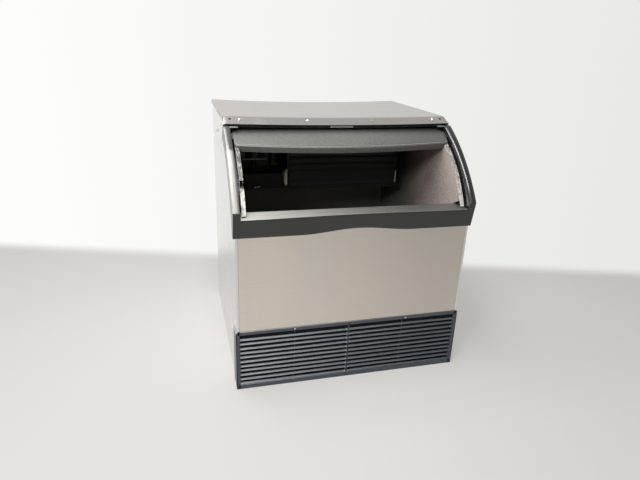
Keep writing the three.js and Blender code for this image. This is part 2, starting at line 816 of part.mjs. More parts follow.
function doorRail(side) {
  const lowAngle = angleAtHeight(rimRadius, rail.seamZ);
  const rear = arcPoint(rimRadius, railRearAngle);
  const band = [
    ...arcPoints(rimRadius, lowAngle, railRearAngle, rimSteps),
    [rear[0], rail.topZ],
    underLip(rail.topZ),
    underLip(),
    ...hoodArc(...rail.hoodShares, 9),
    [arcPoint(rimRadius, lowAngle)[0] - rail.noseDepth, rail.seamZ],
  ];
  const outer = prismX(band, side * bandInner, side * halfWidth);
  const channel = arcBand(
    side * rail.baseInner,
    side * (bandInner + rail.wall / 2),
    rimRadius,
    rimRadius + railFloor,
    angleAtHeight(rimRadius, rail.channelZ),
    railRearAngle,
    rimSteps,
  );
  const span = lowAngle - railRearAngle;
  const webAngle = rail.wall / rimRadius;
  const endAngle = rail.roof / rimRadius;
  const pockets = steps(rail.pockets, (i) => {
    const from = railRearAngle + endAngle + ((span - 2 * endAngle) * i) / rail.pockets + webAngle / 2;
    const to = from + (span - 2 * endAngle) / rail.pockets - webAngle;
    return arcBand(
      side * (bandInner + rail.wall),
      side * (halfWidth - rail.wall),
      rimRadius - overrun,
      doorInner,
      from,
      to,
      3,
    );
  });
  const sillRoom = block(
    side * (bandInner - blockJoint - seat),
    side * (halfWidth + overrun),
    -overallDepth,
    0,
    sillHeight - overrun,
    rail.seamZ,
  );
  return cut(join(outer, channel), pockets, sillRoom, rearTrim(side));
}

// The rails and their metal strips end against the raised rear part of the steel sides
function rearTrim(side) {
  const rear = arcPoint(rimRadius - 2 * seat, railRearAngle)[0] - seat;
  return block(0, side * (halfWidth + overrun), rear, backY, sillHeight, overallHeight);
}

// Metal strip that the door's edge slides on, an angle standing on the bin's rim
const track = { web: 2, notchAngle: THREE.MathUtils.degToRad(52), notchWidth: 26, notchDepth: 6 };

function trackStrip(side) {
  const low = angleAtHeight(trackTop - trackThickness, rail.channelZ);
  const rear = railRearAngle;
  const flat = arcBand(
    side * trackInner,
    side * trackOuter,
    trackTop - trackThickness,
    trackTop,
    low,
    rear,
    rimSteps,
  );
  const webLow = angleAtHeight(rimRadius, rail.channelZ);
  const web = arcBand(
    side * trackInner,
    side * (trackInner + track.web),
    rimRadius + seat,
    trackTop - trackThickness / 2,
    Math.min(webLow, low),
    rear,
    rimSteps,
  );
  const notchHalf = track.notchWidth / trackTop / 2;
  const notch = arcBand(
    side * (trackInner - overrun),
    side * (trackInner + track.notchDepth),
    trackTop - railFloor,
    trackTop + overrun,
    track.notchAngle - notchHalf,
    track.notchAngle + notchHalf,
    3,
  );
  return cut(join(flat, web), notch, rearTrim(side));
}

// Door: one curved moulding with a slanted handle lip along its lower edge

const handle = { depth: 20, lean: THREE.MathUtils.degToRad(13), corner: 6, endGap: 0.8, clearAngle: 0.2 };
const doorStations = 8;
const doorArcSteps = 10;

function doorSection(x) {
  const low = doorOpenAngle + (doorBow * (1 - (x / doorHalf) ** 2)) / doorRadius;
  const cornerAngle = handle.corner / doorRadius;
  const inward = low - handle.lean;
  const lipPoint = (distance, offset) => {
    const [y, z] = arcPoint(doorRadius, low);
    return [
      y + distance * Math.sin(inward) + offset * Math.cos(inward),
      z - distance * Math.cos(inward) + offset * Math.sin(inward),
    ];
  };
  const outer = arcPoints(doorRadius, doorRearAngle, low - cornerAngle, doorArcSteps);
  const inner = arcPoints(doorInner, low - cornerAngle, doorRearAngle, doorArcSteps);
  const lip = [
    lipPoint(handle.corner / 3, handle.corner / 5),
    lipPoint(handle.corner, 0),
    lipPoint(handle.depth, 0),
    lipPoint(handle.depth, doorThickness),
    lipPoint(handle.corner + doorThickness / 2, doorThickness),
  ];
  return [...outer, ...lip, ...inner].map(([y, z]) => [x, y, z]);
}

function binDoor() {
  const rings = steps(doorStations + 1, (i) => doorSection(-doorHalf + (2 * doorHalf * i) / doorStations));
  const trackRoom = bothSides.map(([, side]) => {
    return arcBand(
      side * (trackInner - handle.endGap),
      side * (doorHalf + overrun),
      doorInner - handle.depth - overrun,
      doorInner - seat / 4,
      doorOpenAngle - handle.clearAngle,
      doorOpenAngle + handle.clearAngle,
      8,
    );
  });
  return cut(loft(rings), trackRoom);
}

// Hooks at the door's corners: each reaches past the metal strip and under it
const glide = {
  arc: 34,
  frontAngle: THREE.MathUtils.degToRad(24),
  rearAngle: THREE.MathUtils.degToRad(-14),
};
glide.runGap = 0.8;
glide.footThickness = 6;

function doorGlide(side, angle) {
  const half = glide.arc / doorRadius / 2;
  const outerX = bandInner - glide.runGap;
  const underTrack = trackTop - trackThickness - trackGap;
  const top = arcBand(
    side * (doorHalf + seat),
    side * outerX,
    doorInner,
    doorRadius,
    angle - half,
    angle + half,
    3,
  );
  const stem = arcBand(
    side * (trackOuter + glide.runGap),
    side * outerX,
    underTrack - glide.footThickness,
    doorInner + doorThickness / 2,
    angle - half,
    angle + half,
    3,
  );
  const foot = arcBand(
    side * (trackOuter - trackWidth / 2),
    side * outerX,
    underTrack - glide.footThickness,
    underTrack,
    angle - half,
    angle + half,
    3,
  );
  return join(top, stem, foot);
}

// Louver panels: two clip-on mouldings of slanted slats, wrapped round the cabinet's sides

const louver = {
  proud: 3, // face in front of the front panel
  depth: 12,
  bottomRail: 17,
  topRail: 19,
  endPost: 14,
  splitX: -12,
  splitGap: 0.6,
  splitPost: 8,
  slatPitch: 15.8,
  slatNose: 6,
  slatRise: 5,
  slatThickness: 4,
  skin: 3,
  returnDepth: 70,
  returnDrop: 9,
  floorGap: 1,
  ribWidth: 4,
};
louver.front = frontY - louver.proud;
louver.back = louver.front + louver.depth;

function louverPanel(side) {
  const outerX = side * louverHalf;
  const splitX = louver.splitX + (side * louver.splitGap) / 2;
  const windowOuter = side * (louverHalf - louver.endPost);
  const windowSplit = splitX + side * louver.splitPost;
  const bottom = louver.floorGap;
  const face = block(splitX, outerX, louver.front, frontY - seat, bottom, louverHeight);
  const frame = block(splitX, side * (innerHalf - seat), louver.front, louver.back, bottom, louverHeight);
  const window = block(
    windowSplit,
    windowOuter,
    louver.front - overrun,
    louver.back + overrun,
    louver.bottomRail,
    louverHeight - louver.topRail,
  );
  const sideReturn = block(
    side * (louverHalf - louver.skin),
    outerX,
    louver.front,
    louver.front + louver.returnDepth,
    bottom,
    louverHeight - louver.returnDrop,
  );
  const slatZone = louverHeight - louver.topRail - louver.bottomRail;
  const slatCount = Math.floor(slatZone / louver.slatPitch);
  const slatSpan = (slatCount - 1) * louver.slatPitch + louver.slatNose;
  const firstZ = louver.bottomRail + (slatZone - slatSpan) / 2;
  const reach = louver.skin / 2;
  const slats = steps(slatCount, (i) => {
    const z = firstZ + i * louver.slatPitch;
    const outline = [
      [louver.front, z],
      [louver.back, z + louver.slatRise],
      [louver.back, z + louver.slatRise + louver.slatThickness],
      [louver.front, z + louver.slatNose],
    ];
    return prismX(outline, windowSplit - side * reach, windowOuter + side * reach);
  });
  const ribX = (windowSplit + windowOuter) / 2;
  const rib = block(
    ribX - louver.ribWidth / 2,
    ribX + louver.ribWidth / 2,
    louver.back - louver.skin,
    louver.back,
    louver.bottomRail - reach,
    louverHeight - louver.topRail + reach,
  );
  return join(cut(join(face, frame), window), sideReturn, slats, rib);
}

// Air filters: mesh in a frame, which slides in behind each louver panel
const filter = { depth: 8, frame: 10, media: 2, sideGap: 6 };
filter.front = louver.back + seat;
filter.back = filter.front + filter.depth;

function airFilter(side) {
  const splitX = louver.splitX + side * (louver.splitGap + seat);
  const outerX = side * (innerHalf - filter.sideGap);
  const bottom = sheet + seat;
  const top = louverHeight - filter.sideGap;
  const frame = block(splitX, outerX, filter.front, filter.back, bottom, top);
  const inner = block(
    splitX + side * filter.frame,
    outerX - side * filter.frame,
    filter.front - overrun,
    filter.back + overrun,
    bottom + filter.frame,
    top - filter.frame,
  );
  const middle = (filter.front + filter.back) / 2;
  const media = block(splitX, outerX, middle - filter.media / 2, middle + filter.media / 2, bottom, top);
  const barX = (splitX + outerX) / 2;
  const bar = block(
    barX - filter.frame / 2,
    barX + filter.frame / 2,
    filter.front,
    filter.back,
    bottom,
    top,
  );
  return join(cut(frame, inner), media, bar);
}

// Freezing section: a plate of cells stands over a trough, and water is pumped down its face

const chassis = { railHeight: 6, railDepth: 12, earDepth: 60, earThickness: 5, backWall: 4 };

function freezerChassis() {
  const earZ = ledge.top + seat;
  const left = block(
    freezerLeft - cheekWall / 2,
    freezerLeft + cheekWall / 2,
    cheekFront,
    freezerBack,
    trough.top + 3 * seat,
    freezerTop,
  );
  const right = block(
    freezerRight - cheekWall / 2,
    freezerRight + cheekWall / 2,
    cheekFront,
    freezerBack,
    freezerBottom,
    freezerTop,
  );
  const back = block(
    freezerLeft,
    freezerRight,
    freezerBack - chassis.backWall,
    freezerBack,
    trough.top + 3 * seat,
    freezerTop,
  );
  const beam = block(
    freezerLeft,
    freezerRight,
    plate.back,
    plate.back + chassis.railDepth,
    freezerTop - chassis.railHeight,
    freezerTop,
  );
  const leftEar = block(
    -linerHalf + seat,
    freezerLeft,
    freezerBack - chassis.earDepth,
    freezerBack,
    earZ,
    earZ + chassis.earThickness,
  );
  const rightEar = block(
    freezerRight,
    linerHalf - seat,
    freezerBack - chassis.earDepth,
    freezerBack,
    earZ,
    earZ + chassis.earThickness,
  );
  const pinHoles = [freezerLeft, freezerRight].map((x) =>
    alongX(curtain.pinY, curtain.pinZ, x - cheekWall, x + cheekWall, curtain.holeRadius, 12),
  );
  const feedHole = alongX(
    distributor.y,
    distributor.z,
    freezerLeft - cheekWall,
    freezerLeft + cheekWall,
    distributor.radius + seat,
    16,
  );
  const lineHoles = [coil.inX, coil.outX].map((x, i) => {
    const z = i === 0 ? coil.bottomZ : coil.topZ;
    return alongY(x, z, freezerBack - overrun, freezerBack + overrun, coil.radius + seat, 10);
  });
  return cut(join(left, right, back, beam, leftEar, rightEar), pinHoles, feedHole, lineHoles);
}

// Freezing plate: rows of square cells, each tapered so that a finished cube slides out
const plate = {
  setback: 31, // behind the curtain's face
  rise: 19, // above the sill
  depth: 20,
  cellPitch: 29,
  cellDepth: 15,
  cellWall: 2,
  draft: 1.2,
  rows: 5,
  earThickness: 3,
};
plate.front = curtainY + plate.setback;
plate.back = plate.front + plate.depth;
plate.room = freezerRight - freezerLeft - cheekWall - 2 * seat;
plate.columns = Math.floor((plate.room - plate.cellWall) / plate.cellPitch);
plate.width = plate.columns * plate.cellPitch + plate.cellWall;
plate.height = plate.rows * plate.cellPitch + plate.cellWall;
plate.middleX = (freezerLeft + freezerRight) / 2;
plate.bottom = sillHeight + plate.rise;

function cellTool(x, z) {
  const mouth = (plate.cellPitch - plate.cellWall) / 2;
  const foot = mouth - plate.draft;
  const flare = (plate.draft * overrun) / plate.cellDepth;
  const diagonal = Math.SQRT2; // from half a side to the corner of a square
  const taper = new THREE.CylinderGeometry(
    foot * diagonal,
    (mouth + flare) * diagonal,
    plate.cellDepth + overrun,
    4,
    1,
    false,
    Math.PI / 4,
  );
  taper.translate(0, (plate.cellDepth - overrun) / 2, 0);
  return solidFrom(taper.translate(x, plate.front, z));
}

function evaporatorPlate() {
  const left = plate.middleX - plate.width / 2;
  const body = block(
    left,
    left + plate.width,
    plate.front,
    plate.back,
    plate.bottom,
    plate.bottom + plate.height,
  );
  const ears = block(
    freezerLeft + cheekWall / 2 + seat,
    freezerRight - cheekWall / 2 - seat,
    plate.back - plate.earThickness,
    plate.back,
    plate.bottom,
    plate.bottom + plate.height,
  );
  const cells = steps(plate.columns * plate.rows, (i) => {
    const column = i % plate.columns;
    const row = Math.floor(i / plate.columns);
    const x = left + plate.cellWall / 2 + (column + 1 / 2) * plate.cellPitch;
    const z = plate.bottom + plate.cellWall / 2 + (row + 1 / 2) * plate.cellPitch;
    return cellTool(x, z);
  });
  return cut(join(body, ears), cells);
}

// Cold pipe that runs to and fro on the plate's back
const coil = { radius: 4.8, passes: 5, endInset: 26, bend: 14 };
coil.y = plate.back + coil.radius + seat;
coil.bottomZ = plate.bottom + plate.cellPitch / 2;
coil.topZ = coil.bottomZ + (coil.passes - 1) * plate.cellPitch;
coil.inX = plate.middleX - plate.width / 2 + coil.endInset;
coil.outX = plate.middleX + plate.width / 2 - coil.endInset;

function evaporatorCoil() {
  const rear = linerBack - seat;
  const corners = [[coil.inX, rear, coil.bottomZ]];
  for (let pass = 0; pass < coil.passes; pass += 1) {
    const z = coil.bottomZ + pass * plate.cellPitch;
    const ends = pass % 2 === 0 ? [coil.inX, coil.outX] : [coil.outX, coil.inX];
    corners.push([ends[0], coil.y, z], [ends[1], coil.y, z]);
  }
  corners.push([coil.outX, rear, coil.topZ]);
  return pipe(corners, coil.radius, coil.bend);
}

// Spray pipe above the plate
const distributor = { radius: 9, wall: 1.5, rise: 12, holeRadius: 1.5, leftReach: 12 };
distributor.y = plate.front + plate.depth / 3;
distributor.z = plate.bottom + plate.height + distributor.rise;

function waterDistributor() {
  const start = freezerLeft - cheekWall / 2 - distributor.leftReach;
  const end = freezerRight - cheekWall / 2 - seat;
  const line = (x0, x1, radius, sides) => alongX(distributor.y, distributor.z, x0, x1, radius, sides);
  const bore = line(start - overrun, end - distributor.wall, distributor.radius - distributor.wall, 8);
  const holes = steps(plate.columns / 2, (i) => {
    const x = plate.middleX + (2 * i - (plate.columns - 2) / 2) * plate.cellPitch;
    const below = distributor.z - 2 * distributor.radius;
    return rod([x, distributor.y, distributor.z], [x, distributor.y, below], distributor.holeRadius, 5);
  });
  return cut(line(start, end, distributor.radius, 12), bore, holes);
}

// Trough below the plate, with a deeper sump at its left for the pump and the float
const trough = {
  wall: 3,
  height: 44,
  sumpHeight: 56,
  front: 8,
  depth: 66,
  sumpDepth: 142,
  sumpFrontGap: 14,
};
trough.bottom = freezerBottom;
trough.top = freezerBottom + trough.sumpHeight;

function waterTrough() {
  const frontEdge = cheekFront + trough.front;
  const right = freezerRight - cheekWall / 2 - seat;
  const left = -linerHalf + seat;
  const joint = freezerLeft + cheekWall;
  const sumpFront = frontEdge + trough.sumpFrontGap;
  const outer = join(
    block(
      joint - overrun,
      right,
      frontEdge,
      frontEdge + trough.depth,
      trough.bottom,
      trough.bottom + trough.height,
    ),
    block(left, joint, sumpFront, sumpFront + trough.sumpDepth, trough.bottom, trough.top),
  );
  const wall = trough.wall;
  const top = trough.top + overrun;
  const runBack = frontEdge + trough.depth - wall;
  const sumpBack = sumpFront + trough.sumpDepth - wall;
  const runFloor = trough.bottom + 2 * wall;
  const inner = join(
    block(joint - overrun - wall, right - wall, sumpFront + wall, runBack, runFloor, top),
    block(left + wall, joint - wall, sumpFront + wall, sumpBack, trough.bottom + wall, top),
    block(joint, right - wall, frontEdge + wall, runBack, runFloor, top),
  );
  return cut(outer, inner);
}

// Curtain: a ribbed plastic flap that keeps the water off the ice and swings out as the cubes fall
const curtain = {
  thickness: 2.5,
  rib: 3,
  ribs: 9,
  pinRadius: 3,
  holeRadius: 3.5,
  pinSetback: 16,
  topDrop: 12,
  sideGap: 3,
  length: 222,
  crestShare: 0.25,
};
curtain.pinY = curtainY + curtain.pinSetback;
curtain.pinZ = freezerTop - curtain.topDrop;

function splashCurtain() {
  const left = freezerLeft + cheekWall / 2 + curtain.sideGap;
  const right = freezerRight - cheekWall / 2 - curtain.sideGap;
  const pitch = curtain.length / curtain.ribs;
  const shares = [0, curtain.crestShare, 2 * curtain.crestShare];
  const wave = steps(curtain.ribs, (i) =>
    shares.map((share, point) => [
      curtainY + (point === 1 ? 0 : curtain.rib),
      curtain.pinZ - curtain.thickness - (i + share) * pitch,
    ]),
  ).flat();
  const face = [...wave, [curtainY + curtain.rib, curtain.pinZ - curtain.thickness - curtain.length]];
  const back = face.map(([y, z]) => [y + curtain.thickness, z]).reverse();
  const top = curtain.pinZ + curtain.pinRadius;
  const outline = [
    [curtain.pinY + curtain.pinRadius / 2, top],
    [curtainY + curtain.rib, top],
    ...face,
    ...back,
    [curtainY + curtain.rib + curtain.thickness, top - curtain.thickness],
    [curtain.pinY + curtain.pinRadius / 2, top - curtain.thickness],
  ];
  const skin = prismX(outline, left, right);
  const reach = cheekWall / 3;
  const pin = alongX(
    curtain.pinY,
    curtain.pinZ,
    freezerLeft - reach,
    freezerRight + reach,
    curtain.pinRadius,
    10,
  );
  return join(skin, pin);
}

// Angle brackets on the cheek plates, which stop the curtain and carry its magnet
const curtainStop = { width: 13, height: 64, reach: 36, holeRadius: 3, bottomRise: 15, holeShare: 0.8 };

function curtainStopBracket(side) {
  const cheekX = side < 0 ? freezerLeft : freezerRight;
  const outer = cheekX + (side * cheekWall) / 2 + side * seat;
  const bottom = freezerBottom + curtainStop.bottomRise;
  const faceBack = cheekFront - seat;
  const top = bottom + curtainStop.height;
  const faceInner = outer - side * cheekWall;
  const face = block(
    faceInner,
    faceInner + side * curtainStop.width,
    faceBack - sheet,
    faceBack,
    bottom,
    top,
  );
  const armBottom = trough.top + 3 * seat;
  const armBack = cheekFront + curtainStop.reach;
  const arm = block(outer, outer + side * sheet, faceBack - sheet, armBack, armBottom, top);
  const holeX = outer + (side * curtainStop.width) / 4;
  const holeZ = bottom + curtainStop.height * curtainStop.holeShare;
  const hole = alongY(holeX, holeZ, faceBack - overrun, faceBack + overrun, curtainStop.holeRadius, 10);
  return cut(join(face, arm), hole);
}

// Pump in the sump: motor above on a bracket, impeller below in an open-bottomed housing
const pump = {
  inset: 93, // from the bin's left wall
  setback: 74, // behind the cheek plates' front edge
  motorRadius: 31,
  motorHeight: 66,
  bracketRise: 71, // above the sill
  bracketHalf: 44,
  bracketDepth: 84,
  columnRadius: 10,
  boreRadius: 5,
  shaftRadius: 3,
  voluteRadius: 27,
  voluteHeight: 24,
  voluteWall: 2.5,
  impellerRadius: 20,
  vaneHeight: 7,
  vanes: 6,
  footGap: 7,
  outletRadius: 6,
};
pump.x = -linerHalf + pump.inset;
pump.y = cheekFront + pump.setback;
pump.bracketZ = sillHeight + pump.bracketRise;
pump.voluteBottom = freezerBottom + trough.wall + pump.footGap;
pump.voluteTop = pump.voluteBottom + pump.voluteHeight;
pump.outlet = [
  pump.x + pump.voluteRadius + 2 * pump.outletRadius,
  pump.y,
  pump.voluteBottom + pump.voluteHeight / 2,
];

function pumpBracket() {
  const shelf = block(
    pump.x - pump.bracketHalf,
    pump.x + pump.bracketHalf,
    pump.y - pump.bracketDepth / 2,
    freezerBack - chassis.earDepth + 3 * sheet,
    pump.bracketZ,
    pump.bracketZ + sheet,
  );
  const hangerY = freezerBack - chassis.earDepth + 2 * sheet;
  const hanger = block(
    pump.x - pump.bracketHalf,
    pump.x + pump.bracketHalf,
    hangerY,
    hangerY + sheet,
    pump.bracketZ,
    ledge.top,
  );
  const hole = upright(
    pump.x,
    pump.y,
    pump.bracketZ - overrun,
    pump.bracketZ + overrun,
    pump.columnRadius + 2 * seat,
  );
  return cut(join(shelf, hanger), hole);
}

function pumpMotor() {
  const bottom = pump.bracketZ + sheet + seat;
  const can = upright(pump.x, pump.y, bottom, bottom + pump.motorHeight, pump.motorRadius, 16);
  const cap = upright(
    pump.x,
    pump.y,
    bottom,
    bottom + pump.motorHeight + 2 * sheet,
    pump.motorRadius / 2,
    12,
  );
  const bore = upright(
    pump.x,
    pump.y,
    bottom - overrun,
    bottom + pump.motorHeight / 4,
    pump.shaftRadius + seat,
    10,
  );
  return cut(join(can, cap), bore);
}

function pumpHousing() {
  const top = pump.bracketZ + sheet;
  const column = upright(pump.x, pump.y, pump.voluteTop - pump.voluteWall, top, pump.columnRadius);
  const volute = upright(pump.x, pump.y, pump.voluteBottom, pump.voluteTop, pump.voluteRadius, 16);
  const spout = rod(
    [pump.x + pump.voluteRadius / 2, pump.y, pump.outlet[2]],
    pump.outlet,
    pump.outletRadius,
    10,
  );
  const flange = upright(
    pump.x,
    pump.y,
    pump.bracketZ - seat - 2 * sheet,
    pump.bracketZ - seat,
    2 * pump.columnRadius,
  );
  const room = upright(
    pump.x,
    pump.y,
    pump.voluteBottom - overrun,
    pump.voluteTop - pump.voluteWall,
    pump.voluteRadius - pump.voluteWall,
    16,
  );
  const bore = upright(pump.x, pump.y, pump.voluteBottom, top + overrun, pump.boreRadius, 10);
  const spoutBore = rod(
    [pump.x, pump.y, pump.outlet[2]],
    [pump.outlet[0] + overrun, pump.y, pump.outlet[2]],
    pump.outletRadius - sheet,
    8,
  );
  return cut(join(column, volute, spout, flange), room, bore, spoutBore);
}

function pumpImpeller() {
  const bottom = pump.voluteBottom + pump.vaneHeight / 2;
  const disc = upright(
    pump.x,
    pump.y,
    bottom + pump.vaneHeight,
    bottom + pump.vaneHeight + sheet,
    pump.impellerRadius,
    18,
  );
  const shaftTop = pump.bracketZ + sheet + seat + pump.motorHeight / 4 - seat;
  const shaft = upright(pump.x, pump.y, bottom, shaftTop, pump.shaftRadius, 10);
  const vanes = steps(pump.vanes, (i) => {
    const angle = (i / pump.vanes) * 2 * Math.PI;
    const lead = angle + Math.PI / pump.vanes;
    const place = (radius, turn, offset) => [
      pump.x + radius * Math.cos(turn) - offset * Math.sin(turn),
      pump.y + radius * Math.sin(turn) + offset * Math.cos(turn),
    ];
    const inner = pump.shaftRadius / 2;
    const outer = pump.impellerRadius - sheet;
    const outline = [
      place(inner, angle, 0),
      place(outer, lead, 0),
      place(outer, lead, sheet),
      place(inner, angle, sheet),
    ];
    return prismZ(outline, bottom, bottom + pump.vaneHeight + sheet / 2);
  });
  return join(disc, shaft, vanes);
}

function pumpHose() {
  const feed = [freezerLeft - cheekWall / 2 - distributor.leftReach - seat, distributor.y, distributor.z];
  const start = [pump.outlet[0] + seat, pump.outlet[1], pump.outlet[2]];
  const runX = start[0] + 3 * pump.outletRadius;
  return pipe(
    [start, [runX, start[1], start[2]], [runX, feed[1], feed[2]], feed],
    pump.outletRadius,
    3 * pump.outletRadius,
  );
}

// Float: rises on its stem with the water and tells the controls that the sump is full
const float = {
  inset: 33, // from the bin's left wall
  radius: 17,
  height: 20,
  bore: 4,
  stemRadius: 3,
  rest: 8,
  travel: 18,
  capRadius: 9,
  capHeight: 8,
};
float.x = -linerHalf + float.inset;
float.y = pump.y;
float.bottom = freezerBottom + trough.wall + float.rest;

function floatStem() {
  const base = freezerBottom + trough.wall + seat;
  const capZ = float.bottom + float.height + float.travel + 2 * seat;
  const stem = upright(float.x, float.y, base, capZ + float.capHeight, float.stemRadius, 10);
  const foot = upright(float.x, float.y, base, base + float.rest / 2, float.capRadius, 12);
  const cap = upright(float.x, float.y, capZ, capZ + float.capHeight, float.capRadius, 12);
  return join(stem, foot, cap);
}

function floatBody() {
  const { radius, height, bore } = float;
  const chamfer = radius / 4;
  const profile = [
    [bore, 0],
    [radius - chamfer, 0],
    [radius, chamfer],
    [radius, height - chamfer],
    [radius - chamfer, height],
    [bore, height],
    [bore, 0],
  ];
  return placed(profile, float.x, float.y, float.bottom, 18);
}

// A turned profile standing at a place
function placed(profile, x, y, z, sides) {
  const points = profile.map(([r, h]) => new THREE.Vector2(r, h));
  const body = new THREE.LatheGeometry(points, sides).rotateX(Math.PI / 2);
  return solidFrom(body.translate(x, y, z));
}

// Compressor: welded steel shell on a foot plate with four rubber mounts
const compressor = {
  sideInset: 195, // its axis from the machine's right side
  backInset: 182, // and from the back panel
  radius: 92,
  height: 182,
  mountHeight: 18,
  mountRadius: 15,
  mountWaistShare: 0.8,
  mountCrownShare: 0.9,
  footHalf: 84,
  footThickness: 3,
  seamReach: 4,
  seamHeight: 8,
  domeShares: [0.98, 0.9, 0.72, 0.4],
  domeHeightShares: [0.12, 0.26, 0.37, 0.455],
  stubRadius: 5,
  stubReach: 16,
};
compressor.x = halfWidth - compressor.sideInset;
compressor.y = backY - compressor.backInset;
compressor.footZ = sheet + seat + compressor.mountHeight + seat;

function compressorShell() {
  const { radius, height, footZ, footThickness } = compressor;
  const half = height / 2;
  const dome = compressor.domeShares.map((share, i) => [
    radius * share,
    height * compressor.domeHeightShares[i],
  ]);
  const upper = dome.map(([r, h]) => [r, half + h]);
  const lower = dome.map(([r, h]) => [r, half - h]).reverse();
  const seam = compressor.seamHeight / 2;
  const profile = [
    [0, 0],
    ...lower,
    [radius, half - seam],
    [radius + compressor.seamReach, half - seam],
    [radius + compressor.seamReach, half + seam],
    [radius, half + seam],
    ...upper,
    [0, height],
  ];
  const shell = placed(profile, compressor.x, compressor.y, footZ, 18);
  const { footHalf } = compressor;
  const foot = prismZ(
    roundedRectangle(
      compressor.x - footHalf,
      compressor.x + footHalf,
      compressor.y - footHalf,
      compressor.y + footHalf,
      compressor.mountRadius,
    ),
    footZ,
    footZ + 2 * footThickness,
  );
  const suctionStub = rod(
    [suction.from[0], compressor.y, suction.from[2]],
    suction.from,
    compressor.stubRadius,
    8,
  );
  const dischargeStub = rod(
    [compressor.x, discharge.from[1], discharge.from[2]],
    discharge.from,
    compressor.stubRadius,
    8,
  );
  return join(shell, foot, suctionStub, dischargeStub);
}

function compressorMount(sideX, sideY) {
  const inset = compressor.footHalf - compressor.mountRadius;
  const profile = [
    [0, 0],
    [compressor.mountRadius, 0],
    [compressor.mountRadius * compressor.mountWaistShare, compressor.mountHeight / 3],
    [compressor.mountRadius * compressor.mountCrownShare, compressor.mountHeight],
    [0, compressor.mountHeight],
  ];
  return placed(profile, compressor.x + sideX * inset, compressor.y + sideY * inset, sheet + seat, 8);
}

const terminal = { width: 54, depth: 30, height: 62, corner: 8 };

function compressorTerminalCover() {
  const back = compressor.y - compressor.radius - compressor.seamReach - seat;
  const outline = roundedRectangle(
    compressor.x - terminal.width / 2,
    compressor.x + terminal.width / 2,
    back - terminal.depth,
    back,
    terminal.corner,
    3,
  );
  const z = compressor.footZ + compressor.height / 2 - terminal.height / 2;
  return prismZ(outline, z, z + terminal.height);
}

// Condenser: a finned coil behind the left louver, with its shroud, fan and motor
const condenser = {
  sideInset: 33, // from the machine's left side
  splitInset: 50, // from the joint of the louver panels
  filterGap: 6,
  depth: 44,
  bottomGap: 10,
  height: 184,
  fins: 26,
  finWall: 1.4,
  core: 3,
  bendRadius: 4,
  tubeRows: 8,
  footInset: 70,
};
condenser.x0 = -halfWidth + condenser.sideInset;
condenser.x1 = louver.splitX - condenser.splitInset;
condenser.front = filter.back + condenser.filterGap;
condenser.back = condenser.front + condenser.depth;
condenser.bottom = sheet + condenser.bottomGap;

function condenserCoil() {
  const { x0, x1, front, back, bottom, height, fins, finWall } = condenser;
  const pitch = (x1 - x0 - finWall) / (fins - 1);
  const comb = [[x1, back], [x0, back]];
  for (let fin = 0; fin < fins; fin += 1) {
    const x = x0 + fin * pitch;
    if (fin > 0) comb.push([x, back - condenser.core]);
    comb.push([x, front], [x + finWall, front]);
    if (fin < fins - 1) comb.push([x + finWall, back - condenser.core]);
  }
  const body = prismZ(comb, bottom, bottom + height);
  const foot = block(
    x0 + condenser.footInset,
    x1,
    back - condenser.core,
    back,
    sheet + seat,
    bottom + sheet,
  );
  const gap = height / condenser.tubeRows;
  const bends = steps(condenser.tubeRows / 2 - 1, (i) => {
    const z = bottom + (2 * i + 3 / 2) * gap;
    const y = (front + back) / 2;
    const out = x1 + 3 * condenser.bendRadius;
    const inX = x1 - finWall / 2;
    return pipe(
      [[inX, y, z], [out, y, z], [out, y, z + gap], [inX, y, z + gap]],
      condenser.bendRadius,
      gap / 2,
    );
  });
  return join(body, foot, bends);
}

const fan = {
  radius: 78,
  tipGap: 4,
  hubRadius: 20,
  hubDepth: 22,
  blades: 5,
  bladeThickness: 2,
  pitchRise: 18,
  shaftRadius: 4,
  rootShare: 0.7, // of the hub's radius, where the blades start inside it
  stationShares: [0, 0.35, 0.7, 1],
  rootWidthShare: 0.62, // of the sweep that one blade may take
  tipGrowthShare: 0.2,
};
fan.x = (condenser.x0 + condenser.x1) / 2;
fan.z = condenser.bottom + condenser.height / 2;
const shroud = { depth: 30, collar: 24, frame: 4 };
shroud.front = condenser.back + seat;
shroud.back = shroud.front + shroud.depth;
fan.y = shroud.back + shroud.collar / 2;

function fanShroud() {
  const { x0, x1 } = condenser;
  const top = condenser.bottom + condenser.height;
  const { bottom } = condenser;
  const skin = 2 * sheet;
  const box = cut(
    block(x0, x1, shroud.front, shroud.back, bottom, top),
    block(x0 + skin, x1 - skin, shroud.front - overrun, shroud.back - skin, bottom + skin, top - skin),
  );
  const hole = fan.radius + fan.tipGap;
  const collar = alongY(fan.x, fan.z, shroud.back - skin, shroud.back + shroud.collar, hole + skin, 24);
  const mouth = alongY(
    fan.x,
    fan.z,
    shroud.front - overrun,
    shroud.back + shroud.collar + overrun,
    hole,
    24,
  );
  const foot = block(
    x0 + condenser.footInset,
    x1,
    shroud.back - skin,
    shroud.back,
    sheet + seat,
    bottom + skin / 2,
  );
  return cut(join(box, collar, foot), mouth);
}

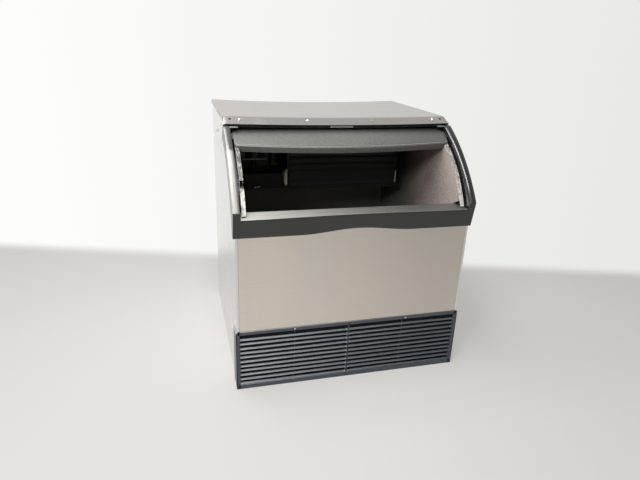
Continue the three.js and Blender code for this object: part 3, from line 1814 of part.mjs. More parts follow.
function fanBlade() {
  const hub = alongY(fan.x, fan.z, fan.y - fan.hubDepth / 2, fan.y + fan.hubDepth / 2, fan.hubRadius, 16);
  const shaftHole = alongY(
    fan.x,
    fan.z,
    fan.y - fan.hubDepth / 4,
    fan.y + fan.hubDepth,
    fan.shaftRadius + seat,
    10,
  );
  const blades = steps(fan.blades, (i) => {
    const turn = (i / fan.blades) * 2 * Math.PI;
    const sweep = Math.PI / fan.blades;
    const root = fan.hubRadius * fan.rootShare;
    const rings = fan.stationShares.map((share) => {
      const radius = root + (fan.radius - root) * share;
      const half = sweep * (fan.rootWidthShare + fan.tipGrowthShare * share);
      const rise = (fan.pitchRise / 2) * (1 - share / 3);
      const at = (angle, y) => {
        const way = turn + angle;
        return [fan.x + radius * Math.cos(way), y, fan.z + radius * Math.sin(way)];
      };
      return [
        at(-half, fan.y - rise),
        at(half, fan.y + rise),
        at(half, fan.y + rise + fan.bladeThickness),
        at(-half, fan.y - rise + fan.bladeThickness),
      ];
    });
    return ribbon(rings);
  });
  return cut(join(hub, blades), shaftHole);
}

// A twisted bar through rings of four corners
function ribbon(rings) {
  const positions = rings.flat(2);
  const faces = [];
  for (let ring = 0; ring < rings.length - 1; ring += 1) {
    for (let i = 0; i < 4; i += 1) {
      const a = ring * 4 + i;
      const b = ring * 4 + ((i + 1) % 4);
      faces.push(a, b, b + 4, a, b + 4, a + 4);
    }
  }
  const end = (rings.length - 1) * 4;
  faces.push(2, 1, 0, 3, 2, 0, end, end + 1, end + 2, end, end + 2, end + 3);
  return closedSolid(positions, faces);
}

const motor = { radius: 38, length: 58, gap: 14, strap: 10, strapWall: 2.5, arm: 8 };
motor.front = shroud.back + shroud.collar + motor.gap;
motor.back = motor.front + motor.length;

function fanMotor() {
  const can = alongY(fan.x, fan.z, motor.front, motor.back, motor.radius, 18);
  const boss = alongY(fan.x, fan.z, motor.front - motor.gap / 2, motor.front + sheet, motor.radius / 3, 14);
  const shaft = alongY(fan.x, fan.z, fan.y, motor.front + sheet, fan.shaftRadius, 10);
  return join(can, boss, shaft);
}

function fanMotorBracket() {
  const inner = motor.radius + seat;
  const outer = inner + motor.strapWall;
  const strapFront = motor.front + motor.length / 3;
  const strap = alongY(fan.x, fan.z, strapFront, strapFront + motor.strap, outer, 18);
  const bore = alongY(fan.x, fan.z, strapFront - overrun, strapFront + motor.strap + overrun, inner, 18);
  const reach = fan.radius + fan.tipGap + 4 * sheet;
  const arms = steps(3, (i) => {
    const angle = Math.PI / 2 + (i * 2 * Math.PI) / 3;
    const at = (radius, y) => [fan.x + radius * Math.cos(angle), y, fan.z + radius * Math.sin(angle)];
    const middle = strapFront + motor.strap / 2;
    const far = reach + motor.arm / 2;
    return pipe(
      [at(outer - sheet, middle), at(far, middle), at(far, shroud.back + seat)],
      motor.arm / 2,
      motor.arm,
    );
  });
  return cut(join(strap, arms), bore);
}

// Refrigerant lines
const lineRadius = 4;
const lineBend = 26;
const suction = { radius: 5, inset: 66, riseGap: 10, heightShare: 0.62 };
suction.from = [
  compressor.x - suction.inset,
  compressor.y + compressor.radius - 2 * compressor.stubReach / 3,
  compressor.footZ + compressor.height * suction.heightShare,
];
const discharge = { setback: 24, runShare: 43 / 72, riseSetback: 181, heightShare: 0.38 };
discharge.from = [
  compressor.x - compressor.radius - compressor.stubReach,
  compressor.y - discharge.setback,
  compressor.footZ + compressor.height * discharge.heightShare,
];
const lineRoom = discharge.from[0] - condenser.x1; // between the condenser and the compressor
discharge.runX = condenser.x1 + lineRoom * discharge.runShare;
discharge.riseY = frontY + discharge.riseSetback;
const drier = { y: 60, z: 92, runY: -90, radius: 14, length: 96, neck: 6, placeShare: 0.25 };
drier.x = condenser.x1 + lineRoom * drier.placeShare;

function dischargeLine() {
  const y = (condenser.front + condenser.back) / 2;
  const z = condenser.bottom + condenser.height - condenser.height / condenser.tubeRows / 2;
  const start = [discharge.from[0] - seat, discharge.from[1], discharge.from[2]];
  const { runX, riseY } = discharge;
  return pipe(
    [
      start,
      [runX, start[1], start[2]],
      [runX, riseY, start[2]],
      [runX, riseY, z],
      [runX, y, z],
      [condenser.x1 + seat, y, z],
    ],
    lineRadius,
    lineBend,
  );
}

function suctionLine() {
  const start = [suction.from[0], suction.from[1] + seat, suction.from[2]];
  const y = linerBack - suction.riseGap;
  return pipe(
    [start, [start[0], y, start[2]], [start[0], y, machineHeight - seat]],
    suction.radius,
    lineBend,
  );
}

// The drier and the liquid line brazed to it
function filterDrier() {
  const half = drier.length / 2;
  const neckRadius = lineRadius + drier.neck / 6;
  const profile = [
    [0, -half - drier.neck * 2],
    [neckRadius, -half - drier.neck * 2],
    [neckRadius, -half - drier.neck],
    [drier.radius, -half + drier.neck],
    [drier.radius, half - drier.neck],
    [neckRadius, half + drier.neck],
    [neckRadius, half + drier.neck * 2],
    [0, half + drier.neck * 2],
  ];
  const points = profile.map(([r, h]) => new THREE.Vector2(r, h));
  const body = new THREE.LatheGeometry(points, 12).translate(drier.x, drier.y, drier.z);
  const entryZ = condenser.bottom + condenser.height / condenser.tubeRows / 2;
  const entryY = (condenser.front + condenser.back) / 2;
  const line = pipe(
    [
      [condenser.x1 + seat, entryY, entryZ],
      [drier.x, entryY, entryZ],
      [drier.x, drier.runY, entryZ],
      [drier.x, drier.runY, drier.z],
      [drier.x, drier.y - half - drier.neck, drier.z],
    ],
    lineRadius,
    lineBend,
  );
  return join(solidFrom(body), line);
}

// Controls: a sheet-metal box behind the right louver, with the on-off rocker in its cover
const controls = {
  sideInset: 55, // from the machine's right side
  width: 234,
  depth: 96,
  height: 146,
  footHeight: 20,
  footInset: 46,
  coverFlange: 10,
};
controls.x1 = halfWidth - controls.sideInset;
controls.x0 = controls.x1 - controls.width;
controls.front = filter.back + post.depth + 4 * sheet;
controls.bottom = sheet + seat + controls.footHeight;

function controlBox() {
  const { x0, x1, front, depth, bottom, height } = controls;
  const box = cut(
    block(x0, x1, front, front + depth, bottom, bottom + height),
    block(
      x0 + sheet,
      x1 - sheet,
      front - overrun,
      front + depth - sheet,
      bottom + sheet,
      bottom + height - sheet,
    ),
  );
  const feet = [x0, x1 - controls.footInset].map((x) =>
    block(x, x + 4 * sheet, front + sheet, front + depth, sheet + seat, bottom + sheet / 2),
  );
  return join(box, feet);
}

const rocker = { width: 14, height: 22, depth: 8, insetX: 40, heightShare: 0.7, backShare: 0.8 };
rocker.x = controls.x0 + rocker.insetX;
rocker.z = controls.bottom + controls.height * rocker.heightShare;
rocker.y = controls.front - seat - sheet / 2;

function controlBoxCover() {
  const { x0, x1, front, bottom, height } = controls;
  const plateBack = front - seat;
  const skin = block(x0, x1, plateBack - sheet, plateBack, bottom, bottom + height);
  const flange = controls.coverFlange;
  const lips = block(
    x0 + sheet + seat,
    x1 - sheet - seat,
    plateBack - sheet / 2,
    plateBack + flange,
    bottom + sheet + seat,
    bottom + height - sheet - seat,
  );
  const room = block(
    x0 + 2 * sheet + seat,
    x1 - 2 * sheet - seat,
    plateBack,
    plateBack + flange + overrun,
    bottom + 2 * sheet + seat,
    bottom + height - 2 * sheet - seat,
  );
  const halfX = rocker.width / 2 + seat;
  const halfZ = rocker.height / 2 + 2 * seat;
  const switchHole = block(
    rocker.x - halfX,
    rocker.x + halfX,
    plateBack - overrun,
    plateBack + overrun,
    rocker.z - halfZ,
    rocker.z + halfZ,
  );
  return cut(join(skin, lips), room, switchHole);
}

function powerSwitchRocker() {
  const half = rocker.height / 2;
  const out = rocker.depth / 2;
  const outline = [
    [rocker.y - out / 2, rocker.z],
    [rocker.y - out, rocker.z + half],
    [rocker.y + out, rocker.z + half * rocker.backShare],
    [rocker.y + out, rocker.z - half * rocker.backShare],
    [rocker.y - out, rocker.z - half],
  ];
  return prismX(outline, rocker.x - rocker.width / 2, rocker.x + rocker.width / 2);
}

// Water, drain and mains at the back
const valve = {
  bodyRadius: 15,
  bodyLength: 34,
  coilWidth: 30,
  coilHeight: 34,
  outletRadius: 5,
  outletLength: 22,
};

function waterInletValve() {
  const bodyBack = backY - sheet - 4 * seat;
  const spigot = alongY(inletX, backFittingZ, bodyBack - sheet, backY + fittingReach, inletRadius, 14);
  const bore = alongY(
    inletX,
    backFittingZ,
    backY - overrun,
    backY + fittingReach + overrun,
    inletRadius - 2 * sheet,
    10,
  );
  const body = alongY(inletX, backFittingZ, bodyBack - valve.bodyLength, bodyBack, valve.bodyRadius, 12);
  const winding = block(
    inletX - valve.coilWidth / 2,
    inletX + valve.coilWidth / 2,
    bodyBack - valve.bodyLength + sheet,
    bodyBack - 2 * sheet,
    backFittingZ + valve.bodyRadius / 2,
    backFittingZ + valve.bodyRadius + valve.coilHeight,
  );
  const outlet = alongY(
    inletX,
    backFittingZ,
    bodyBack - valve.bodyLength - valve.outletLength,
    bodyBack - valve.bodyLength + sheet,
    valve.outletRadius,
    12,
  );
  return cut(join(spigot, body, winding, outlet), bore);
}

function drainFitting() {
  const inner = backY - sheet - 4 * seat;
  const tube = alongY(drainX, backFittingZ, inner - fittingReach, backY + fittingReach, drainRadius, 14);
  const collar = alongY(drainX, backFittingZ, inner - 2 * sheet, inner, drainRadius + 3 * sheet, 12);
  const bore = alongY(
    drainX,
    backFittingZ,
    inner - overrun / 2,
    backY + fittingReach + overrun,
    drainRadius - 2 * sheet,
    10,
  );
  return cut(join(tube, collar), bore);
}

function drainHose() {
  const hose = drainHole - 2 * seat;
  const end = backY - sheet - 5 * seat - fittingReach;
  return pipe(
    [[drainX, drainY, linerFloor - seat], [drainX, drainY, backFittingZ], [drainX, end, backFittingZ]],
    hose,
    4 * hose,
    8,
  );
}

function powerInletGland() {
  const inner = backY - sheet - 4 * seat;
  const hex = prismY(circle(glandX, backFittingZ, glandRadius + 3 * sheet, 6), inner - 4 * sheet, inner);
  const body = alongY(glandX, backFittingZ, inner - sheet, backY + fittingReach, glandRadius, 14);
  const bore = alongY(
    glandX,
    backFittingZ,
    inner - overrun - 4 * sheet,
    backY + fittingReach + overrun,
    glandRadius - 3 * sheet,
    10,
  );
  return cut(join(hex, body), bore);
}

// Assembly: fixed pieces first, then the ones that move, each in a group on its own axis

addPiece('base_pan', basePan(), galvanised);
addPiece('bin_floor_pan', join(binFloorPan(), centrePost()), galvanised);
addPiece('back_panel', backPanel(), galvanised);
addPiece('front_panel', frontSheet(), stainless);
addPiece('top_panel', topPanel(), stainless);
addPiece('front_crossbar', frontCrossbar(), galvanised);
addPiece('bin_liner', binLiner(), linerPlastic);
addPiece('bin_insulation', binInsulation(), foam);
addPiece('front_sill', frontSill(), blackPlastic);
bothSides.forEach(([name, side]) => {
  addPiece(`${name}_side_panel`, sidePanel(side), sideSteel);
  addPiece(`${name}_door_rail`, doorRail(side), blackPlastic);
  addPiece(`${name}_track_strip`, trackStrip(side), brightMetal);
  addPiece(`${name}_louver_panel`, louverPanel(side), louverPlastic);
  addPiece(`${name}_air_filter`, airFilter(side), filterMesh);
  addPiece(`${name}_curtain_bracket`, curtainStopBracket(side), brightMetal);
});

const door = addGroup(0, axisY, axisZ);
addPiece('bin_door', binDoor(), doorPlastic, door);
bothSides.forEach(([name, side]) => {
  addPiece(`${name}_front_glide`, doorGlide(side, glide.frontAngle), whitePlastic, door);
  addPiece(`${name}_rear_glide`, doorGlide(side, glide.rearAngle), whitePlastic, door);
});

addPiece('freezer_chassis', freezerChassis(), darkPlastic);
addPiece('evaporator_plate', evaporatorPlate(), nickel);
addPiece('evaporator_coil', evaporatorCoil(), copper);
addPiece('water_distributor', waterDistributor(), whitePlastic);
addPiece('water_trough', waterTrough(), darkPlastic);
addPiece('pump_bracket', pumpBracket(), brightMetal);
addPiece('pump_motor', pumpMotor(), blackPaint);
addPiece('pump_housing', pumpHousing(), darkPlastic);
addPiece('pump_hose', pumpHose(), rubber);
addPiece('float_stem', floatStem(), whitePlastic);

const curtainGroup = addGroup(0, curtain.pinY, curtain.pinZ);
addPiece('splash_curtain', splashCurtain(), darkPlastic, curtainGroup);
const impellerGroup = addGroup(pump.x, pump.y, pump.voluteBottom);
addPiece('pump_impeller', pumpImpeller(), whitePlastic, impellerGroup);
const floatGroup = addGroup(float.x, float.y, float.bottom);
addPiece('sump_float', floatBody(), whitePlastic, floatGroup);

addPiece('compressor', compressorShell(), blackPaint);
addPiece('compressor_terminal_cover', compressorTerminalCover(), darkPlastic);
bothSides.forEach(([name, side]) => {
  addPiece(`${name}_front_compressor_mount`, compressorMount(side, -1), rubber);
  addPiece(`${name}_rear_compressor_mount`, compressorMount(side, 1), rubber);
});
addPiece('condenser_coil', condenserCoil(), aluminium);
addPiece('fan_shroud', fanShroud(), galvanised);
addPiece('fan_motor', fanMotor(), aluminium);
addPiece('fan_motor_bracket', fanMotorBracket(), brightMetal);
const fanGroup = addGroup(fan.x, fan.y, fan.z);
addPiece('fan_blade', fanBlade(), aluminium, fanGroup);
addPiece('discharge_line', dischargeLine(), copper);
addPiece('suction_line', suctionLine(), copper);
addPiece('filter_drier', filterDrier(), copper);

addPiece('control_box', controlBox(), galvanised);
addPiece('control_box_cover', controlBoxCover(), galvanised);
const rockerGroup = addGroup(rocker.x, rocker.y, rocker.z);
addPiece('power_switch_rocker', powerSwitchRocker(), rubber, rockerGroup);
addPiece('water_inlet_valve', waterInletValve(), brass);
addPiece('drain_fitting', drainFitting(), whitePlastic);
addPiece('drain_hose', drainHose(), rubber);
addPiece('power_inlet_gland', powerInletGland(), darkPlastic);

export default machine;
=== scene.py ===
import json
import math

import bmesh
import bpy
from mathutils import Matrix, Vector


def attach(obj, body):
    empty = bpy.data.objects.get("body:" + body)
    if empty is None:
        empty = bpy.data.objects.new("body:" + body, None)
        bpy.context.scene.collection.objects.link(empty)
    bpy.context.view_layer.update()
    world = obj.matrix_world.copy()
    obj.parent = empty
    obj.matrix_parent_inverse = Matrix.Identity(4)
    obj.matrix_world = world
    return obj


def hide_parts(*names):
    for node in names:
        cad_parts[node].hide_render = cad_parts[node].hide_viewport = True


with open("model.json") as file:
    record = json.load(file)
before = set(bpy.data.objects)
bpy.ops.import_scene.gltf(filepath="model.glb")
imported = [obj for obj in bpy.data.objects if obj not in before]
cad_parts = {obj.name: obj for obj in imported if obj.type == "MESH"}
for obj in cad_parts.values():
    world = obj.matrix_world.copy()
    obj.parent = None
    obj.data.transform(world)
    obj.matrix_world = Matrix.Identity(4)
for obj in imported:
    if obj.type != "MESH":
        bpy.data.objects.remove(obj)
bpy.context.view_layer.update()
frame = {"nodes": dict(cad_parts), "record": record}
nodes = frame["nodes"]
print("frame loaded")


def addObject(name, data):
    thing = bpy.data.objects.new(name, data)
    bpy.context.scene.collection.objects.link(thing)
    return thing


# Camera, solved from the machine's straight edges; the picture is 640 by 480
view = {
    "place": Vector((-0.5263, -1.8045, 1.0697)),  # m
    "heading": math.radians(15.661),  # to the right of straight ahead
    "down": math.radians(20.713),
    "roll": math.radians(2.211),
    "focalPixels": 527.53,
    "pictureWidth": 640,
    "sensor": 36.0,  # mm
    "reach": 60.0,  # m
}


def makeCamera():
    look = Vector((
        math.sin(view["heading"]) * math.cos(view["down"]),
        math.cos(view["heading"]) * math.cos(view["down"]),
        -math.sin(view["down"]),
    ))
    level = Vector((math.cos(view["heading"]), -math.sin(view["heading"]), 0))
    rise = level.cross(look)
    right = level * math.cos(view["roll"]) + rise * math.sin(view["roll"])
    up = rise * math.cos(view["roll"]) - level * math.sin(view["roll"])
    data = bpy.data.cameras.new("camera")
    data.sensor_width = view["sensor"]
    data.lens = view["focalPixels"] * view["sensor"] / view["pictureWidth"]
    data.clip_end = view["reach"]
    camera = addObject("camera", data)
    turn = Matrix((right, up, -look)).transposed().to_4x4()
    camera.matrix_world = Matrix.Translation(view["place"]) @ turn
    bpy.context.scene.camera = camera


makeCamera()
bpy.context.scene.view_settings.view_transform = "Standard"


# Shader maths: a Signal is one output socket, and sums of signals add Math nodes
class Signal:
    def __init__(self, finish, socket):
        self.finish = finish
        self.socket = socket

    def maths(self, operation, *values):
        inputs = dict(enumerate((self,) + values))
        return self.finish.node("Math", inputs, operation=operation)

    def __add__(self, other):
        return self.maths("ADD", other)

    def __mul__(self, other):
        return self.maths("MULTIPLY", other)

    def __sub__(self, other):
        return self.maths("SUBTRACT", other)

    def __rsub__(self, other):
        return self.finish.node("Math", {0: other, 1: self}, operation="SUBTRACT")

    def __pow__(self, other):
        return self.maths("POWER", other)

    __radd__ = __add__
    __rmul__ = __mul__

    def between(self, low, high, ease="SMOOTHSTEP"):  # 0 below low, 1 above high
        inputs = {"Value": self, "From Min": low, "From Max": high}
        return self.finish.node("MapRange", inputs, interpolation_type=ease)


class Finish:
    def __init__(self, name, owner=None):
        self.material = owner or bpy.data.materials.new(name)
        self.material.use_nodes = True
        self.tree = self.material.node_tree
        self.tree.nodes.clear()
        self.place = self.node("TexCoord", output="Generated" if owner else "Object")

    def node(self, kind, inputs=None, output=0, **settings):  # inputs are values or signals
        made = self.tree.nodes.new("ShaderNode" + kind)
        for key, value in settings.items():
            setattr(made, key, value)
        for key, value in (inputs or {}).items():
            if isinstance(value, Signal):
                self.tree.links.new(value.socket, made.inputs[key])
            else:
                made.inputs[key].default_value = value
        return Signal(self, made.outputs[output]) if len(made.outputs) else None

    def axes(self, vector=None):  # x, y and z of a vector as three signals
        split = self.tree.nodes.new("ShaderNodeSeparateXYZ")
        self.tree.links.new((vector or self.place).socket, split.inputs[0])
        return [Signal(self, output) for output in split.outputs]

    def upward(self):  # 1 where a face looks straight up
        return self.axes(self.node("NewGeometry", output="Normal"))[2]

    def noise(self, scale, detail=3.0, rough=0.55, stretch=None):  # stretch: scales of x, y and z
        place = self.place
        if stretch:
            place = self.node("Mapping", {"Vector": place, "Scale": stretch})
        inputs = {"Vector": place, "Scale": scale, "Detail": detail, "Roughness": rough}
        return self.node("TexNoise", inputs)

    def cells(self, scale, output="Distance"):
        return self.node("TexVoronoi", {"Vector": self.place, "Scale": scale}, output)

    def mix(self, a, b, amount):  # colours: sockets 0, 6 and 7 are the factor and the two colours
        made = self.tree.nodes.new("ShaderNodeMix")
        made.data_type = "RGBA"
        for index, value in ((0, amount), (6, a), (7, b)):
            if isinstance(value, Signal):
                self.tree.links.new(value.socket, made.inputs[index])
            elif index == 0:
                made.inputs[index].default_value = value
            else:
                made.inputs[index].default_value = (*value, 1)
        return Signal(self, made.outputs[2])

    def rays(self):  # 1 for what the camera, a gloss or a glass looks at
        path = self.tree.nodes.new("ShaderNodeLightPath")
        kinds = ("Camera", "Glossy", "Transmission")
        camera, glossy, glass = [Signal(self, path.outputs["Is %s Ray" % kind]) for kind in kinds]
        return camera.maths("MAXIMUM", glossy).maths("MAXIMUM", glass)

    def surface(self, tint, roughness, height, depth, metallic=0.0, gloss=0.5):  # depth in metres
        bump = self.node("Bump", {"Height": height, "Distance": depth})
        shader = self.node("BsdfPrincipled", {
            "Base Color": tint, "Roughness": roughness, "Metallic": metallic,
            "Specular IOR Level": gloss, "Normal": bump,
        })
        self.node("OutputMaterial", {"Surface": shader})
        return self.material


def shade(colour, share):  # the same colour, darker or paler
    return tuple(c * share for c in colour)


# Sheet steel, brushed along one axis, with faint streaks across the grain and wiping marks; painted shade
# darkens the front panel's right end, the top sheet's lip and its folded edge
steels = {
    "front_steel": {"colour": (0.735, 0.68, 0.615), "grain": (1.5, 60, 900),
                    "rough": 0.34, "streak": (9, 1, 0.6)},
    "top_steel": {"colour": (0.485, 0.46, 0.445), "grain": (1.5, 700, 700),
                  "rough": 0.27, "streak": (1.2, 7, 7)},
    "side_steel": {"colour": (0.80, 0.80, 0.79), "grain": (900, 1.5, 900),
                   "rough": 0.28, "streak": (1, 7, 0.7)},
    "bright_bracket": {"colour": (0.60, 0.58, 0.55), "grain": (2, 500, 500),
                       "rough": 0.30, "streak": (9, 9, 9)},
}
brushing = {
    "scratch": (0.31, 0.4),  # the scratches' scale: share of the grain's, and what is added
    "smear": 14,  # scale
    "warm": (1.03, 1.0, 0.985),  # shares of the colour
    "cool": (0.96, 0.975, 0.98),
    "line": 0.88,
    "lineShare": 0.5,
    "lineRough": 0.2,
    "smearRough": 0.06,
    "depth": 0.00005,  # m
    "rightShade": 0.84,  # painted shade: the front panel is darker towards its right end
    "rightShadeX": (-0.25, 0.3),  # m
    "lip": 0.78,  # painted shade: the top sheet's lip is darker, for the darker room that it reflects
    "lipY": (-0.107, -0.101),
    "paintedShade": (0.03, 0.03, 0.03),  # painted shade: near black along the lip's folded edge, for the shadow gap there
    "paintedShadeY": (-0.1420, -0.1415),
}


def steelFinish(name, colour, grain, rough, streak):
    f = Finish(name)
    lines = f.noise(1.0, 4, 0.7, grain)
    share, added = brushing["scratch"]
    scratches = f.noise(1.0, 2, 0.5, tuple(g * share + added for g in grain))
    blotch = f.noise(1.0, 3, 0.5, streak)
    smear = f.noise(brushing["smear"], 4, 0.6)
    warm = tuple(c * k for c, k in zip(colour, brushing["warm"]))
    cool = tuple(c * k for c, k in zip(colour, brushing["cool"]))
    tint = f.mix(cool, warm, blotch.between(0.3, 0.7))
    tint = f.mix(tint, shade(colour, brushing["line"]), lines.between(0.45, 0.75) * brushing["lineShare"])
    if name == "front_steel":
        # painted shade: the front panel darkens towards its right end
        tint = f.mix(tint, shade(colour, brushing["rightShade"]), f.axes()[0].between(*brushing["rightShadeX"]))
    if name == "top_steel":
        y = f.axes()[1]
        # painted shade: the lip darker than the top
        tint = f.mix(shade(colour, brushing["lip"]), tint, y.between(*brushing["lipY"]))
        # painted shade: the lip's folded edge near black
        tint = f.mix(brushing["paintedShade"], tint, y.between(*brushing["paintedShadeY"]))
    roughness = rough + (lines - 0.5) * brushing["lineRough"]
    roughness = roughness + smear.between(0.5, 0.8) * brushing["smearRough"]
    return f.surface(tint, roughness, lines * 0.7 + scratches * 0.3, brushing["depth"], metallic=1.0)


# Moulded plastic: fine pebble grain, dust in the hollows and paler rubbed places; painted shade on the
# liner and the door
plastics = {
    "rail_plastic": {"colour": (0.010, 0.011, 0.010), "grain": 900, "depth": 0.00004,
                     "rough": 0.2, "dust": 0.12, "gloss": 0.75},
    "door_plastic": {"colour": (0.108, 0.111, 0.103), "grain": 240, "depth": 0.0005,
                     "rough": 0.42, "dust": 0.5, "gloss": 0.5},
    "louver_plastic": {"colour": (0.060, 0.073, 0.090), "grain": 700, "depth": 0.0001,
                       "rough": 0.36, "dust": 0.6, "gloss": 0.5},
    "liner_plastic": {"colour": (0.46, 0.39, 0.36), "grain": 240, "depth": 0.00006,
                      "rough": 0.42, "dust": 0.15, "gloss": 0.4},
    "inner_plastic": {"colour": (0.008, 0.0095, 0.010), "grain": 500, "depth": 0.00005,
                      "rough": 0.4, "dust": 0.1, "gloss": 0.3},
    "white_plastic": {"colour": (0.7, 0.69, 0.64), "grain": 400, "depth": 0.00005,
                      "rough": 0.4, "dust": 0.2, "gloss": 0.5},
    "rubber": {"colour": (0.016, 0.016, 0.016), "grain": 700, "depth": 0.0001,
               "rough": 0.75, "dust": 0.3, "gloss": 0.3},
    "filter_mesh": {"colour": (0.010, 0.012, 0.014), "grain": 420, "depth": 0.0004,
                    "rough": 0.85, "dust": 0.3, "gloss": 0.2},
    "foam": {"colour": (0.68, 0.58, 0.3), "grain": 260, "depth": 0.0006,
             "rough": 0.9, "dust": 0.1, "gloss": 0.2},
    "black_enamel": {"colour": (0.008, 0.009, 0.01), "grain": 300, "depth": 0.00004,
                     "rough": 0.22, "dust": 0.3, "gloss": 0.5},
    "greasy_glide": {"colour": (0.05, 0.05, 0.047), "grain": 300, "depth": 0.0002,
                     "rough": 0.5, "dust": 0.3, "gloss": 0.4},
    # painted highlight: the steel curtain stops and trough clip get a pale matt colour, so they show bright
    # in the dark bin
    "dull_bracket": {"colour": (0.80, 0.78, 0.70), "grain": 300, "depth": 0.0003,
                     "rough": 0.35, "dust": 0.6, "gloss": 0.6},
    # painted highlight: the pale bead on the door's lower edge; the crossbar's tab uses it too
    "rubbed_bead": {"colour": (0.30, 0.30, 0.28), "grain": 300, "depth": 0.0002,
                    "rough": 0.3, "dust": 0.3, "gloss": 0.5},
}
moulding = {
    "fine": 0.6,  # scales, as shares of the grain's
    "mottle": 0.9,
    "cloud": 7,  # scales
    "specks": 160,
    "deeper": 0.8,  # shares of the colour
    "paler": 1.35,
    "dust": (1.6, 0.05, 0.6),  # the dust's colour: share of the plastic's, what is added, the most
    "fineRough": 0.16,
    "cloudRough": 0.06,
    "stain": (0.095, 0.113, 0.085),  # painted shade: on the liner, darker towards the back of the bin
    "backShadeY": (-0.16, 0.12),  # m
    "backShadeShare": 0.92,
    "dim": 0.72,  # painted shade: the door is darker towards its right end
    "dimX": (0.05, 0.35),
    "dimShare": 0.95,
    "paintedShade": 0.3,  # painted shadow: a dark band across the door, where the lip shades it
    "paintedShadeLow": (0.784, 0.797),
    "paintedShadeHigh": (0.799, 0.812),
    "paintedShadeShare": 0.7,
}


def plasticFinish(name, colour, grain, depth, rough, dust, gloss):
    f = Finish(name)
    pebbles = f.cells(grain)
    fine = f.noise(grain * moulding["fine"], 3)
    cloud = f.noise(moulding["cloud"], 4)
    mottle = f.noise(grain * moulding["mottle"], 2, 0.6)
    specks = f.noise(moulding["specks"], 2, 0.7).between(0.66, 0.74)
    share, added, most = moulding["dust"]
    dusty = tuple(min(most, c * share + added) for c in colour)
    tint = f.mix(colour, shade(colour, moulding["deeper"]), cloud.between(0.35, 0.7))
    tint = f.mix(tint, shade(colour, moulding["paler"]), mottle.between(0.42, 0.68))
    tint = f.mix(tint, dusty, specks * cloud.between(0.4, 0.65) * dust)
    if name == "liner_plastic":
        # painted shade: the liner darkens towards the back of the bin
        back = f.axes()[1].between(*moulding["backShadeY"])
        tint = f.mix(tint, moulding["stain"], back * moulding["backShadeShare"])
    if name == "door_plastic":
        x, y, z = f.axes()
        # painted shade: the door darkens towards its right end
        right = x.between(*moulding["dimX"])
        tint = f.mix(tint, shade(colour, moulding["dim"]), right * moulding["dimShare"])
        # painted shadow: a dark band across the door under the lip
        line = z.between(*moulding["paintedShadeLow"]) * (1 - z.between(*moulding["paintedShadeHigh"]))
        tint = f.mix(tint, shade(colour, moulding["paintedShade"]), line * moulding["paintedShadeShare"])
    roughness = rough + (fine - 0.5) * moulding["fineRough"]
    roughness = roughness + cloud.between(0.4, 0.8) * moulding["cloudRough"]
    return f.surface(tint, roughness, pebbles * 0.6 + fine * 0.4, depth, gloss=gloss)


# Painted sheen: pale colour on the sill's top, most at its left end, and on the lower part of the left
# rail, standing in for light reflected there
paintedSheen = {
    "colour": (0.80, 0.775, 0.73),
    "left": 0.55,  # share at the sill's left end
    "right": 0.10,
    "fading": 2.1,  # how fast it fades from left to right
    "halfX": 0.36,  # m, half the sill's length
    "level": (0.75, 0.95),  # how far up a face must look
    "sillZ": (0.596, 0.600),  # the sill's painted sheen ends below this
    "sheenNoiseSpread": 0.5,
    "railX": (-0.3655, -0.3745),  # the rail's inner edge and its groove
    "railEndX": (-0.364, -0.3635),
    "railFootZ": (0.603, 0.606),
    "railTopZ": (0.752, 0.762),
    "rail": 0.25,
    "railOuter": 0.34,
    "above": 0.16,  # share of it that reaches higher up
    "streakNoiseSpread": 0.7,
    "rough": 0.5,
}


def paintedSheenFinish(name):
    values = plastics["rail_plastic"]
    f = Finish(name)
    x, y, z = f.axes()
    sheenNoise = f.noise(1.0, 4, 0.6, (14, 60, 60))
    streakNoise = f.noise(1.0, 4, 0.6, (160, 14, 14))
    across = x.between(-paintedSheen["halfX"], paintedSheen["halfX"], "LINEAR")
    onSill = (1 - across) ** paintedSheen["fading"] * (paintedSheen["left"] - paintedSheen["right"]) + paintedSheen["right"]
    onSill = onSill * f.upward().between(*paintedSheen["level"])
    onSill = onSill * (1 - z.between(*paintedSheen["sillZ"])) * (0.75 + sheenNoise * paintedSheen["sheenNoiseSpread"])
    inner, groove = paintedSheen["railX"]
    outward = 1 - x.between(groove, inner)
    height = 1 - z.between(*paintedSheen["railTopZ"]) * (1 - paintedSheen["above"])
    onRail = (paintedSheen["rail"] + outward * paintedSheen["railOuter"]) * height
    onRail = onRail * (1 - x.between(*paintedSheen["railEndX"])) * z.between(*paintedSheen["railFootZ"])
    share = onSill + onRail * (0.6 + streakNoise * paintedSheen["streakNoiseSpread"])
    grit = f.noise(700, 3)
    # painted sheen: pale colour mixed in where the sheen shows
    tint = f.mix(values["colour"], paintedSheen["colour"], share)
    roughness = values["rough"] + share * paintedSheen["rough"] + (grit - 0.5) * 0.1
    return f.surface(tint, roughness, grit, values["depth"], gloss=values["gloss"])


# Louvers: pale colour on the slats' upper faces, thickest on the left, partly dust and partly a painted
# highlight of the light from above and the left; dust also at the joint
slatDustAndSheen = {
    "colour": (0.49, 0.51, 0.53),
    "halfX": 0.38,  # m, half the louvers' width
    "left": 0.75,  # what the left end has more than the right
    "right": 0.12,
    "level": (0.45, 0.75),  # how far up a face must look
    "streakSpread": 0.6,
    "jointX": -0.012,
    "jointReach": (0.003, 0.010),
    "joint": 0.35,
    "jointLevel": (0.2, 0.6),
    "specks": 0.25,
    "specksLevel": (0.4, 0.8),
    "rough": 0.4,
}


